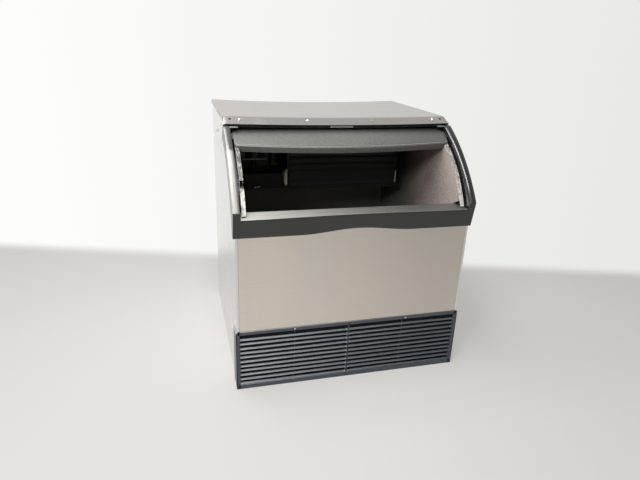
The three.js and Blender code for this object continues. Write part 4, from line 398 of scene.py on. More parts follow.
def dustAndSheenFinish(name):
    values = plastics["louver_plastic"]
    f = Finish(name)
    x = f.axes()[0]
    up = f.upward()
    across = x.between(-slatDustAndSheen["halfX"], slatDustAndSheen["halfX"], "LINEAR")
    streaks = f.noise(1.0, 4, 0.65, (25, 60, 160))
    specks = f.noise(420, 3, 0.7).between(0.62, 0.74)
    # partly dust, partly painted highlight: paler on upward faces and towards the left
    dust = (1 - across) ** 2 * slatDustAndSheen["left"] + slatDustAndSheen["right"]
    dust = dust * up.between(*slatDustAndSheen["level"]) * (0.7 + streaks * slatDustAndSheen["streakSpread"])
    joint = 1 - (x - slatDustAndSheen["jointX"]).maths("ABSOLUTE").between(*slatDustAndSheen["jointReach"])
    dust = dust + joint * up.between(*slatDustAndSheen["jointLevel"]) * slatDustAndSheen["joint"]
    share = dust + specks * up.between(*slatDustAndSheen["specksLevel"]) * slatDustAndSheen["specks"]
    fine = f.noise(values["grain"], 3)
    tint = f.mix(values["colour"], slatDustAndSheen["colour"], share)
    roughness = values["rough"] + dust * slatDustAndSheen["rough"] + (fine - 0.5) * 0.1
    return f.surface(tint, roughness, fine, values["depth"], gloss=values["gloss"])


# Track strips: scratched and greasy, paler towards their lower ends
trackWear = {
    "grease": (0.05, 0.05, 0.048),
    "bare": (0.78, 0.76, 0.72),
    "scratch": 0.5,
    "lowZ": (0.600, 0.700),  # m
    "low": 0.85,
    "rightX": (-0.1, 0.1),
    "right": 0.3,  # the right strip is paler
    "metallic": 0.6,
    "rough": 0.62,
    "spread": 0.2,
    "depth": 0.0003,
}


def trackFinish(name):
    wear = trackWear
    f = Finish(name)
    x, y, z = f.axes()
    scratch = f.noise(1.0, 4, 0.7, (420, 60, 60))
    grease = f.noise(55, 4, 0.65)
    low = 1 - z.between(*wear["lowZ"])
    clean = scratch.between(0.42, 0.66) * wear["scratch"] + low * wear["low"]
    clean = (clean + x.between(*wear["rightX"]) * wear["right"]) * grease.between(0.28, 0.55)
    tint = f.mix(wear["grease"], wear["bare"], clean)
    roughness = wear["rough"] - low * wear["spread"] + (grease - 0.5) * wear["spread"]
    return f.surface(tint, roughness, scratch, wear["depth"], metallic=wear["metallic"])


# Painted shade: the steel behind the lip is near black, for the shadow under the lip, with paler dirt marks
crossbarShadePaint = {
    "colour": (0.009, 0.009, 0.009),
    "dirt": (0.03, 0.03, 0.029),
    "rough": 0.6,
    "spread": 0.2,
    "gloss": 0.2,
    "depth": 0.0002,
}


def crossbarShadeFinish(name):
    paint = crossbarShadePaint
    f = Finish(name)
    dirt = f.noise(40, 4, 0.6)
    # painted shade: near black, as the shadow under the lip
    tint = f.mix(paint["colour"], paint["dirt"], dirt.between(0.4, 0.75))
    roughness = paint["rough"] + dirt * paint["spread"]
    return f.surface(tint, roughness, dirt, paint["depth"], gloss=paint["gloss"])


# Bare and plated metals
metals = {
    "nickel": {"colour": (0.5, 0.48, 0.43), "rough": 0.3, "stain": (0.38, 0.37, 0.33)},
    "copper": {"colour": (0.62, 0.27, 0.14), "rough": 0.34, "stain": (0.30, 0.13, 0.07)},
    "brass": {"colour": (0.6, 0.44, 0.18), "rough": 0.33, "stain": (0.35, 0.25, 0.1)},
    "bare_aluminium": {"colour": (0.55, 0.56, 0.57), "rough": 0.42, "stain": (0.4, 0.4, 0.4)},
    "galvanised_steel": {"colour": (0.46, 0.47, 0.47), "rough": 0.42, "stain": (0.35, 0.36, 0.37)},
    "polished_screw": {"colour": (0.85, 0.84, 0.82), "rough": 0.3, "stain": (0.6, 0.6, 0.58)},
}


def metalFinish(name, colour, rough, stain):
    f = Finish(name)
    cloud = f.noise(18, 4)
    fine = f.noise(500, 3)
    patch = cloud.between(0.45, 0.7) * 0.6
    if name == "galvanised_steel":  # spangled
        patch = f.axes(f.cells(60, "Color"))[0] * 0.5
    roughness = rough + (fine - 0.5) * 0.1 + cloud * 0.08
    return f.surface(f.mix(colour, stain, patch), roughness, fine, 0.00002, metallic=1.0)


finishes = {}
for recipe, table in ((steelFinish, steels), (plasticFinish, plastics), (metalFinish, metals)):
    for name, values in table.items():
        finishes[name] = recipe(name, **values)
finishes["painted_sheen_plastic"] = paintedSheenFinish("painted_sheen_plastic")
finishes["dust_and_sheen_louver"] = dustAndSheenFinish("dust_and_sheen_louver")
finishes["worn_track"] = trackFinish("worn_track")
finishes["shade_black_crossbar"] = crossbarShadeFinish("shade_black_crossbar")
slotOf = {part["node"]: part["material_slot"] for part in frame["record"]["subparts"]}
print("finishes made:", len(finishes))


# Carried-over solids get their finish and softened edges; new pieces' edges are softened too
softening = {
    "weld": 0.00002,  # m
    "flat": 1.0,  # degrees
    "solidEdge": 0.0006,
    "solidAngle": 40.0,
    "solidSegments": 2,
    "pieceSegments": 3,
}
mm = 0.001


def softenEdges(thing, width, segments, angle):
    bevel = thing.modifiers.new("edge", "BEVEL")
    bevel.width = width
    bevel.segments = segments
    bevel.limit_method = "ANGLE"
    bevel.angle_limit = math.radians(angle)
    bevel.harden_normals = True


def dress(node):
    thing = nodes[node]
    thing.data.materials.clear()
    thing.data.materials.append(finishes[slotOf[node]])
    weld = thing.modifiers.new("weld", "WELD")
    weld.merge_threshold = softening["weld"]
    flat = thing.modifiers.new("flat", "DECIMATE")
    flat.decimate_type = "DISSOLVE"
    flat.angle_limit = math.radians(softening["flat"])
    softenEdges(thing, softening["solidEdge"], softening["solidSegments"], softening["solidAngle"])


for node in nodes:
    dress(node)
for node in ("left_front_glide", "right_front_glide", "left_rear_glide", "right_rear_glide"):
    nodes[node].data.materials[0] = finishes["greasy_glide"]
print("solids dressed:", len(nodes))


# New pieces are made in millimetres, mostly as sections carried along X, and stored in metres
def addMesh(name, bm, slot, body="cabinet", edge=0.0, angle=35, replaced=(), finish=None):
    bmesh.ops.scale(bm, vec=(mm, mm, mm), verts=bm.verts)
    mesh = bpy.data.meshes.new(name)
    bm.to_mesh(mesh)
    bm.free()
    mesh.shade_smooth()
    mesh.set_sharp_from_angle(angle=math.radians(angle))
    mesh.materials.append(finishes[finish or slot])
    piece = addObject(name, mesh)
    if edge:
        softenEdges(piece, edge * mm, softening["pieceSegments"], angle)
    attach(piece, body)
    if replaced:
        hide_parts(*replaced)
    return piece


def skin(bm, rings):  # faces between one closed ring of vertices and the next
    for one, two in zip(rings, rings[1:]):
        for i in range(len(one)):
            j = (i + 1) % len(one)
            bm.faces.new((one[i], one[j], two[j], two[i]))


def addRings(bm, rings):  # each ring is a closed list of (x, y, z), all of one length
    made = [[bm.verts.new(point) for point in ring] for ring in rings]
    skin(bm, made)
    for ring in (made[0], made[-1]):
        edges = [bm.edges.get(pair) for pair in zip(ring, ring[1:] + ring[:1])]
        bmesh.ops.triangle_fill(bm, use_beauty=True, use_dissolve=True, edges=edges)


def addPiece(name, solids, slot, **settings):  # a solid is a list of rings
    bm = bmesh.new()
    for rings in solids:
        addRings(bm, rings)
    bmesh.ops.recalc_face_normals(bm, faces=bm.faces)
    addMesh(name, bm, slot, **settings)


def slab(outline, x0, x1):  # a (y, z) outline between two x
    return [[(x, y, z) for y, z in outline] for x in (x0, x1)]


def block(x0, x1, y0, y1, z0, z1):
    return slab([(y0, z0), (y1, z0), (y1, z1), (y0, z1)], x0, x1)


def spaced(low, high, count):
    return [low + (high - low) * i / (count - 1) for i in range(count)]


def roundPoints(radius, count):
    return [(radius * math.cos(math.tau * k / count), radius * math.sin(math.tau * k / count))
            for k in range(count)]


# The hood's arc: the door, its tracks and the rails share one axis along X
arc = {
    "y": -5.0,
    "z": 429.0,
    "door": 391.0,  # outer face of the door
    "doorInner": 386.0,
    "rim": 352.0,  # inner edge of the rails
    "doorBack": -18.0,  # degrees from straight up, towards the front
    "doorFront": 31.0,
    "railBack": -24.0,
}


def arcPoint(radius, angle):
    return arc["y"] - radius * math.sin(angle), arc["z"] + radius * math.cos(angle)


def arcPoints(radius, start, stop, count):
    return [arcPoint(radius, angle) for angle in spaced(start, stop, count)]


def angleAt(height, radius):
    return math.acos((height - arc["z"]) / radius)


# Door: bowed at its lower edge, round at its lower corners, with a slanted handle lip
door = {
    "half": 356.5,
    "bow": 16.5,
    "corner": 9.0,
    "cornerTurns": (15, 30, 45, 60, 72, 82, 90),  # degrees round a corner
    "lipDepth": 20.0,
    "lipSlant": 13.0,  # degrees
    "lipHalf": 342.7,
    "lipEnd": 9.0,  # it has slanted away this far beyond lipHalf
    "lipEndLength": 14.0,  # over this length
    "lipEndDepth": 7.0,
    "lipWall": 5.0,
    "lipRoot": 8.5,  # how far down its back meets the shell
    "lipCrease": ((1.2, 0.6), (3.5, 0.1)),  # down and off, where the face turns into the lip
    "crease": 6.0,  # above the lower edge
    "creaseInner": 1.6,
    "soft": 1.6,
    "columns": 60,
    "rows": 31,
}
doorHighlightBead = {
    "radius": 0.9,
    "sides": 8,
    "above": 5.5,  # the door's lower edge
    "sunk": 0.1,
    "inset": 1.5,  # from the door's ends
    "columns": 90,
}


def doorEdge(x):  # angle of the face's lower edge at x
    bow = door["bow"] * (1 - (x / door["half"]) ** 2)
    into = max(0.0, abs(x) - (door["half"] - door["corner"]))
    rounding = door["corner"] - math.sqrt(max(0.0, door["corner"] ** 2 - into ** 2))
    return math.radians(arc["doorFront"]) + (bow - rounding) / arc["door"]


def doorSection(x):
    low = doorEdge(x)
    slant = low - math.radians(door["lipSlant"])
    foot = arcPoint(arc["door"], low)
    share = min(1.0, max(0.0, (door["lipHalf"] + door["lipEnd"] - abs(x)) / door["lipEndLength"]))
    depth = door["lipEndDepth"] + (door["lipDepth"] - door["lipEndDepth"]) * share
    wall = door["lipWall"]

    def lip(down, off):
        return (foot[0] + down * math.sin(slant) + off * math.cos(slant),
                foot[1] - down * math.cos(slant) + off * math.sin(slant))

    back = math.radians(arc["doorBack"])
    points = arcPoints(arc["door"], back, low - door["crease"] / arc["door"], door["rows"])
    points += [lip(*crease) for crease in door["lipCrease"]]
    points += [lip(depth, 0), lip(depth, wall), lip(door["lipRoot"] * share + wall * (1 - share), wall)]
    points += arcPoints(arc["doorInner"], low - door["creaseInner"] / arc["doorInner"], back, door["rows"])
    return [(x, y, z) for y, z in points]


def doorColumns(half, count):  # closer together round the corners
    corner = door["corner"]
    turn = [half - corner + corner * math.sin(math.radians(a)) for a in door["cornerTurns"]]
    return [-x for x in reversed(turn)] + spaced(-(half - corner), half - corner, count) + turn


def makeDoor():
    rings = [doorSection(x) for x in doorColumns(door["half"], door["columns"])]
    addPiece("hood_door", [rings], "door_plastic", body="door", edge=door["soft"], replaced=["bin_door"])


def makeDoorHighlightBead():  # pale bead along the break between face and lip: a painted highlight on the face's lower edge
    rings = []
    for x in doorColumns(door["half"] - doorHighlightBead["inset"], doorHighlightBead["columns"]):
        y, z = arcPoint(arc["door"] - doorHighlightBead["sunk"], doorEdge(x) - doorHighlightBead["above"] / arc["door"])
        rings.append([(x, y + b, z + a) for a, b in roundPoints(doorHighlightBead["radius"], doorHighlightBead["sides"])])
    addPiece("door_edge_highlight_bead", [rings], "door_plastic", body="door", finish="rubbed_bead")


makeDoor()
makeDoorHighlightBead()

# Rails: moulded bands that frame the mouth, with a channel on their inner side
rail = {
    "inner": 363.0,
    "top": 604.4,
    "foot": 6.0,  # on the sill its outline closes this far forward of the inner edge
    "end": 137.4,
    "lipZ": 825.2,
    "lipBack": 15.0,  # behind the lip's foot
    "underLip": (5.0, -8.0),  # y and z from the lip's foot: the rail stops just under it
    "crown": 11.0,  # of the hood's line, beyond the door's outer face
    "soft": 1.2,
    "rimPoints": 56,
    "facePoints": 40,
    "faceShares": (0.035, 0.996),  # stretch of the hood's line that the face takes
    # distance from the middle, and how far the face lies back there: soft edges and a groove
    "face": ((363.0, 8.0), (363.4, 6.4), (364.4, 4.7), (366.0, 3.1), (368.0, 1.8), (370.4, 0.7),
             (372.6, 0.15), (373.8, 0.0), (374.5, 1.9), (375.6, 1.9), (376.3, 0.2), (383.4, 0.1),
             (384.5, 0.6), (385.0, 1.8)),
    "smooth": 42,  # degrees
    "channelInner": 346.2,
    "channelFloor": 360.0,
    "channelFoot": 587.0,
    "channelSunk": 1.5,
    "channelPoints": 48,
}
# The steel side goes on over the rail's hidden rear part
railCover = {
    "inner": 378.4,
    "outer": 385.7,
    "front": 17.0,  # degrees
    "behind": 0.1,  # degrees beyond the rail's end
    "proud": 1.2,  # of the rail's inner edge
    "lipFoot": (1.0, -0.5),  # y and z from the lip's foot
    "over": 1.0,  # beyond the rail's end and top
    "points": 40,
    "soft": 0.4,
}
nose = (-381.0, 604.0)  # y and z
lipFoot = (-143.0, 819.0)


def hoodLine(count):  # circle through the nose, a crown and the lip's foot
    middle = ((nose[0] + lipFoot[0]) / 2, (nose[1] + lipFoot[1]) / 2)
    chord = (lipFoot[0] - nose[0], lipFoot[1] - nose[1])
    length = math.hypot(*chord)
    normal = (-chord[1] / length, chord[0] / length)
    toAxis = (middle[0] - arc["y"], middle[1] - arc["z"])
    along = toAxis[0] * normal[0] + toAxis[1] * normal[1]
    aside = toAxis[0] * normal[1] - toAxis[1] * normal[0]
    sagitta = math.sqrt((arc["door"] + rail["crown"]) ** 2 - aside ** 2) - along
    radius = (length ** 2 / 4 + sagitta ** 2) / (2 * sagitta)
    centre = (middle[0] + normal[0] * (sagitta - radius), middle[1] + normal[1] * (sagitta - radius))
    a0 = math.atan2(lipFoot[1] - centre[1], lipFoot[0] - centre[0])
    a1 = math.atan2(nose[1] - centre[1], nose[0] - centre[0])
    angles = [a0 + (a1 - a0) * share for share in spaced(*rail["faceShares"], count)]
    return [(centre[0] + radius * math.cos(a), centre[1] + radius * math.sin(a)) for a in angles]


def bandOutline(sunk, soft):
    band = arcPoints(arc["rim"] + soft, angleAt(rail["top"], arc["rim"]), math.radians(arc["railBack"]),
                     rail["rimPoints"])
    band += [(rail["end"] - soft, rail["lipZ"]), (lipFoot[0] + rail["lipBack"], rail["lipZ"])]
    band += [(lipFoot[0] + rail["underLip"][0], lipFoot[1] + rail["underLip"][1])]
    for y, z in hoodLine(rail["facePoints"]):
        away = math.hypot(y - arc["y"], z - arc["z"])
        share = (away - sunk) / away
        band.append((arc["y"] + (y - arc["y"]) * share, arc["z"] + (z - arc["z"]) * share))
    return band + [(band[0][0] - rail["foot"] + soft, rail["top"])]


def makeRailCover(side, name):
    cover = railCover
    outline = [(lipFoot[0] + cover["lipFoot"][0], lipFoot[1] + cover["lipFoot"][1])]
    outline += arcPoints(arc["rim"] - cover["proud"], math.radians(cover["front"]),
                         math.radians(arc["railBack"] - cover["behind"]), cover["points"])
    top = rail["lipZ"] + cover["over"]
    outline += [(rail["end"] + cover["over"], top), (lipFoot[0] + rail["lipBack"], top)]
    solid = slab(outline, side * cover["inner"], side * cover["outer"])
    addPiece(name + "_rail_cover", [solid], "side_steel", edge=cover["soft"])


def makeRail(side, name):
    ends = (rail["face"][0], rail["face"][-1])
    rings = []
    for x, sunk in rail["face"]:
        outline = bandOutline(sunk, rail["soft"] if (x, sunk) in ends else 0)
        rings.append([(side * x, y, z) for y, z in outline])
    foot = rail["channelFoot"]
    stop = math.radians(arc["railBack"])
    count = rail["channelPoints"]
    channel = arcPoints(rail["channelFloor"], angleAt(foot, rail["channelFloor"]), stop, count)
    channel += arcPoints(arc["rim"], stop, angleAt(foot, arc["rim"]), count)
    band = slab(channel, side * rail["channelInner"], side * (rail["inner"] + rail["channelSunk"]))
    addPiece(name + "_hood_rail", [rings, band], "rail_plastic", angle=rail["smooth"],
             finish="painted_sheen_plastic", replaced=[name + "_door_rail"])
    makeRailCover(side, name)


# Track strips, and the strips of bin rim below them
track = {
    "inner": 343.5,
    "outer": 356.5,
    "top": 385.5,  # radii
    "under": 382.5,
    "foot": 587.0,
    "notchAt": 51.5,  # degrees
    "notchHalf": 13.0,  # mm along the arc
    "notchOuter": 355.0,
    "notchPoints": 8,
    "pointsPerRadian": 60,
    "leastPoints": 6,
    "soft": 0.5,
    "rimX": (343.2, 345.6),
    "rimInner": 345.5,  # radii
    "rimNotch": 364.0,
    "rimStop": 30.0,  # degrees
    "rimPoints": 30,
    "rimSoft": 0.4,
}


def strip(side, a0, a1, xs, radii, count):
    outline = arcPoints(radii[1], a0, a1, count) + arcPoints(radii[0], a1, a0, count)
    return slab(outline, side * xs[0], side * xs[1])


def makeTrack(side, name, notched):
    middle = math.radians(track["notchAt"])
    reach = track["notchHalf"] / track["top"]
    notch = (middle + reach, middle - reach)

    def spans(start, stop):
        return [(start, notch[0]), (notch[1], stop)] if notched else [(start, stop)]

    xs = (track["inner"], track["outer"])
    radii = (track["under"], track["top"])
    solids = []
    for a0, a1 in spans(angleAt(track["foot"], track["top"]), math.radians(arc["railBack"])):
        count = max(track["leastPoints"], int(abs(a0 - a1) * track["pointsPerRadian"]))
        solids.append(strip(side, a0, a1, xs, radii, count))
    if notched:
        xs = (track["notchOuter"], track["outer"])
        solids.append(strip(side, *notch, xs, radii, track["notchPoints"]))
    addPiece(name + "_door_track", solids, "bright_bracket", edge=track["soft"], finish="worn_track",
             replaced=[name + "_track_strip"])
    radii = (track["rimInner"], track["under"])
    ends = spans(angleAt(track["foot"], track["rimInner"]), math.radians(track["rimStop"]))
    solids = [strip(side, a0, a1, track["rimX"], radii, track["rimPoints"]) for a0, a1 in ends]
    if notched:
        radii = (track["rimInner"], track["rimNotch"])
        solids.append(strip(side, *notch, track["rimX"], radii, track["notchPoints"]))
    addPiece(name + "_bin_rim", solids, "liner_plastic", edge=track["rimSoft"])


sides = ((-1, "left"), (1, "right"))
for side, name in sides:
    makeRail(side, name)
    makeTrack(side, name, name == "left")
print("hood made")

# Sill: moulded front edge of the mouth, with an arched lower edge
sill = {
    "inner": 363.0,
    "outer": 385.0,
    "endSunk": 1.0,
    "chinZ": 522.5,
    "archHalf": 185.0,
    "archRise": 14.5,
    "edgeZ": 582.0,
    "crown": 3.2,
    "frontY": -365.0,
    "lean": 12.0,
    "leanHeight": 62.5,
    "roll": ((0.9, -0.9), (3.0, 0.0)),  # the front edge: back and up from its corner
    "rollBelow": 3.0,
    "wall": 3.5,
    "insideBelow": (4.0, 7.0),  # the inner corner below the roll
    "ledgeY": -307.7,
    "ledge": ((-3.0, 585.0), (0.0, 582.0), (0.0, 570.0), (-3.6, 570.0), (-3.6, 581.0)),  # y from ledgeY, z
    "soft": 1.6,
    "smooth": 38,  # degrees
    "columns": 80,
    "rows": 5,
    "endRows": 4,
    "endPoints": 14,
}


def sillFront(z):
    return sill["frontY"] - sill["lean"] * (z - sill["chinZ"]) / sill["leanHeight"]


def sillSection(x):
    wave = 0.5 + 0.5 * math.cos(math.pi * x / sill["inner"])
    arch = 0.5 + 0.5 * math.cos(math.pi * x / sill["archHalf"]) if abs(x) < sill["archHalf"] else 0
    bottom = sill["chinZ"] + sill["archRise"] * arch
    edge = sill["edgeZ"] + sill["crown"] * wave
    corner = sillFront(edge)
    wall = sill["wall"]
    high, low = (edge - below for below in sill["insideBelow"])
    section = [(sillFront(z), z) for z in spaced(bottom, edge - sill["rollBelow"], sill["rows"])]
    section += [(corner + back, edge + up) for back, up in sill["roll"]]
    section += [(sill["ledgeY"] + y, z) for y, z in sill["ledge"]]
    section += [(corner + wall + sill["rollBelow"], high), (sillFront(high) + wall, low)]
    section += [(sillFront(bottom) + wall, bottom)]
    return [(x, y, z) for y, z in section]


def makeSill():
    solids = [[sillSection(x) for x in spaced(-sill["inner"], sill["inner"], sill["columns"])]]
    end = [(sillFront(z), z) for z in spaced(sill["chinZ"], nose[1], sill["endRows"])]
    end += arcPoints(arc["rim"], angleAt(nose[1], arc["rim"]), angleAt(sill["chinZ"], arc["rim"]),
                     sill["endPoints"])
    for side in (-1, 1):
        solids.append(slab(end, side * (sill["inner"] - sill["endSunk"]), side * sill["outer"]))
    addPiece("mouth_sill", solids, "rail_plastic", edge=sill["soft"], angle=sill["smooth"],
             replaced=["front_sill"], finish="painted_sheen_plastic")


makeSill()

# Top sheet: folded down at its back and sides, slanted lip in front, sagging between its sides
roof = {
    "half": 382.0,
    "sheet": 1.5,
    "edgeY": -103.0,
    "z": 838.0,
    "back": 373.9,
    "dropZ": 823.0,
    "flange": 12.0,
    "sagFront": 5.5,
    "sagBack": 8.5,
    "fold": 2.5,
    "foldShare": 0.3,  # how far the back fold's middle lies inside its corner
    "hem": ((6.0, -1.2), (1.5, -2.0), (0.4, -1.6), (0.0, -0.6)),  # y and z from the lip's foot
    "lipShares": (0.008, 0.03, 0.2, 0.5, 0.8, 1),  # its rows, up the lip
    "rows": 26,
    "edgeColumns": (0.0, 0.7, 2.4),  # from each end
    "innerColumns": 12.0,  # from there the columns are evenly spaced
    "columns": 44,
    "edgeDrop": (0.35, 1.5),  # the side folds: depth and power
    "smooth": 50,  # degrees
}


def roofSag(x, y):
    t = min(1.0, max(0.0, (y - lipFoot[0]) / (roof["back"] - lipFoot[0])))
    return (roof["sagFront"] + (roof["sagBack"] - roof["sagFront"]) * t) * (1 - (x / roof["half"]) ** 2)


def roofProfile():
    fold = roof["fold"]
    slope = math.atan2(roof["z"] - lipFoot[1], roof["edgeY"] - lipFoot[0])
    y, z = lipFoot
    hem = [(y + off, z + up) for off, up in roof["hem"]]
    lip = [(y + (roof["edgeY"] - fold - y) * s, z + (roof["z"] - fold * math.tan(slope) - z) * s)
           for s in roof["lipShares"]]
    sheet = [(v, roof["z"]) for v in spaced(roof["edgeY"] + fold, roof["back"] - fold, roof["rows"])]
    soft = fold * roof["foldShare"]
    drop = [(roof["back"] - soft, roof["z"] - soft), (roof["back"], roof["z"] - fold)]
    return hem, lip, sheet, drop + [(roof["back"], roof["dropZ"])]


def makeRoof():
    hem, lip, sheet, drop = roofProfile()
    profile = hem + lip + sheet + drop
    firstFlat = len(hem) + len(lip)
    half = roof["half"]
    ends = [-half + off for off in roof["edgeColumns"]]
    inner = half - roof["innerColumns"]
    columns = ends + spaced(-inner, inner, roof["columns"]) + [-x for x in reversed(ends)]
    depth, power = roof["edgeDrop"]
    bm = bmesh.new()
    grid = []
    for x in columns:
        edgeDrop = depth * max(0.0, roof["edgeColumns"][-1] - (half - abs(x))) ** power
        grid.append([bm.verts.new((x, y, z - roofSag(x, y) - edgeDrop)) for y, z in profile])
    for one, two in zip(grid, grid[1:]):
        for i in range(len(one) - 1):
            bm.faces.new((one[i], one[i + 1], two[i + 1], two[i]))
    for row in (grid[0], grid[-1]):
        edge = row[firstFlat:-len(drop)]
        lower = [bm.verts.new((v.co.x, v.co.y, roof["z"] - roof["flange"])) for v in edge]
        for (a, b), (c, d) in zip(zip(edge, edge[1:]), zip(lower, lower[1:])):
            bm.faces.new((a, b, d, c))
    bmesh.ops.recalc_face_normals(bm, faces=bm.faces)
    if sum(face.normal.z for face in bm.faces) < 0:
        bmesh.ops.reverse_faces(bm, faces=bm.faces)
    piece = addMesh("roof_sheet", bm, "top_steel", angle=roof["smooth"], replaced=["top_panel"])
    thick = piece.modifiers.new("sheet", "SOLIDIFY")
    thick.thickness = roof["sheet"] * mm
    thick.offset = -1  # inwards


# Crossbar: channel under the lip, which sags with it, its tab and its bright feet
crossbar = {
    "half": 361.0,
    "front": -139.0,
    "back": -109.0,
    "floor": 809.5,
    "sheet": 1.5,
    "clear": 2.6,  # below the lip's outer face
    "columns": 40,
    "soft": 0.4,
    "tabHalf": 39.0,
    "tabZ": (811.0, 817.0),
    "tabHalfSheet": 1.0,
    "footX": (340.0, 371.0),
    "footY": (-10.0, -1.0),  # from its front
    "footZ": (807.5, 811.0),
    "footSoft": 0.5,
}


def makeCrossbar():
    bar = crossbar
    front, back, floor, t = bar["front"], bar["back"], bar["floor"], bar["sheet"]
    rise = (roof["z"] - lipFoot[1]) / (roof["edgeY"] - lipFoot[0])
    frontTop, backTop = (lipFoot[1] + rise * (y - lipFoot[0]) - bar["clear"] for y in (front, back))
    channel = [(front, frontTop), (front, floor), (back, floor), (back, backTop),
               (back - t, backTop), (back - t, floor + t), (front + t, floor + t), (front + t, frontTop)]
    rings = [[(x, y, z - roofSag(x, front)) for y, z in channel]
             for x in spaced(-bar["half"], bar["half"], bar["columns"])]
    addPiece("sagging_crossbar", [rings], "galvanised_steel", edge=bar["soft"], finish="shade_black_crossbar",
             replaced=["front_crossbar"])
    sag = roofSag(0, front)
    y0, y1 = front - bar["tabHalfSheet"], front + bar["tabHalfSheet"]
    z0, z1 = (z - sag for z in bar["tabZ"])
    tab = slab([(y0, z1), (y1, z1), (y1, z0), (y0, z0)], -bar["tabHalf"], bar["tabHalf"])
    addPiece("crossbar_tab", [tab], "galvanised_steel", edge=bar["footSoft"], finish="rubbed_bead")
    y0, y1 = (front + y for y in bar["footY"])
    x0, x1 = bar["footX"]
    feet = [block(side * x0, side * x1, y0, y1, *bar["footZ"]) for side in (-1, 1)]
    addPiece("crossbar_feet", feet, "galvanised_steel", edge=bar["footSoft"])


# Screws, and black discs painted as the shade in two empty holes; a screw's size is its radius and height
fastener = {
    "sides": 20,
    "sunk": 0.4,  # below the face that it sits on
    "headShares": ((1.0, 0.3), (0.85, 0.75), (0.5, 1.0), (0.3, 1.0), (0.22, 0.45)),
    "smooth": 40,  # degrees
    "lipShare": 0.64,  # way up the lip
    "lipScrews": (-331.5, -110.0, 331.5),
    "lipScrew": (5.0, 2.0),
    "dullScrews": (110.0,),
    "dullScrew": (4.0, 1.2),
    "holeShades": (-361.0, 361.0),
    "plug": ((4.6, -0.3), (4.4, 0.3), (4.0, 0.4), (3.5, 0.15)),  # its section, outside in
    "plugSmooth": 60,
    "panelScrew": (4.2, 1.8),
    "sideX": 378.5,
    "side": ((352.0, 45.0), (352.0, 400.0), (352.0, 700.0), (-340.0, 235.0)),  # y, z on each side
    "backY": 372.0,
    "back": ((-362.0, 60.0), (362.0, 60.0), (-362.0, 420.0), (362.0, 420.0), (-362.0, 790.0),
             (0.0, 40.0), (0.0, 790.0), (362.0, 790.0)),  # x, z
    "louverY": -364.0,
    "louver": ((-194.0, 204.6), (188.0, 204.6)),
    "louverScrew": (2.4, 1.0),
}


def lipPlace(x):  # frame on the lip's middle line: z away from the steel
    share = fastener["lipShare"]
    y = lipFoot[0] + (roof["edgeY"] - lipFoot[0]) * share
    z = lipFoot[1] + (roof["z"] - lipFoot[1]) * share - roofSag(x, y)
    slope = math.atan2(roof["z"] - lipFoot[1], roof["edgeY"] - lipFoot[0])
    return Matrix.Translation((x, y, z)) @ Matrix.Rotation(slope, 4, "X")


def facing(x, y, z, turn, axis):  # frame on a panel
    return Matrix.Translation((x, y, z)) @ Matrix.Rotation(math.radians(turn), 4, axis)


def addTurned(bm, profile, place):  # (radius, height) profile turned round the place's z
    count = fastener["sides"]
    rings = [[bm.verts.new(place @ Vector((a, b, height))) for a, b in roundPoints(radius, count)]
             for radius, height in profile]
    skin(bm, rings)
    bm.faces.new(rings[0])
    bm.faces.new(rings[-1])


def addHead(bm, place, radius, height):  # domed, with a recess in its middle
    profile = [(radius * r, height * h) for r, h in fastener["headShares"]]
    addTurned(bm, [(radius, -fastener["sunk"])] + profile, place)


def makeScrews(name, places, size, slot="bright_bracket", finish="polished_screw"):
    bm = bmesh.new()
    for place in places:
        addHead(bm, place, *size)
    bmesh.ops.recalc_face_normals(bm, faces=bm.faces)
    addMesh(name, bm, slot, angle=fastener["smooth"], finish=finish)


def makeFasteners():
    makeScrews("lip_screws", [lipPlace(x) for x in fastener["lipScrews"]], fastener["lipScrew"])
    makeScrews("lip_dull_screw", [lipPlace(x) for x in fastener["dullScrews"]], fastener["dullScrew"],
               "top_steel", "top_steel")
    # painted shade: black discs stand for the two empty holes at the lip's ends
    bm = bmesh.new()
    for x in fastener["holeShades"]:
        addTurned(bm, fastener["plug"], lipPlace(x))
    bmesh.ops.recalc_face_normals(bm, faces=bm.faces)
    addMesh("lip_hole_shades", bm, "rubber", angle=fastener["plugSmooth"], finish="shade_black_crossbar")
    flanks = [facing(side * fastener["sideX"], y, z, side * 90, "Y")
              for side in (-1, 1) for y, z in fastener["side"]]
    makeScrews("side_panel_screws", flanks, fastener["panelScrew"])
    backs = [facing(x, fastener["backY"], z, -90, "X") for x, z in fastener["back"]]
    makeScrews("back_panel_screws", backs, fastener["panelScrew"])
    fronts = [facing(x, fastener["louverY"], z, 90, "X") for x, z in fastener["louver"]]
    makeScrews("louver_screws", fronts, fastener["louverScrew"])


# Curtain stops: a forked plate on the left and a plain one on the right, each on its arm.
# With them goes the small clip on the trough
stops = {
    "y": (57.0, 59.0),
    "bottom": 563.5,
    "footPoints": 9,
    "leftX": (-148.6, -138.6),
    "rightX": (287.0, 290.6),
    "fork": 609.0,  # where the prongs part, and the plain plate's top
    "prongs": (624.0, 627.0, 625.0, 622.0),  # z of the prongs' corners, from the right
    "prongShare": 0.55,  # of the half width
    "arm": (58.5, 94.0, 572.0, 608.0),  # y and z
    "armSheet": 2.0,
    "soft": 0.4,
    "clip": ((-260.0, 555.2), (-237.0, 558.0)),  # x, z along the trough's front
    "clipY": (64.3, 66.1),
    "clipHeight": 4.0,
    "clipSoft": 0.5,
}


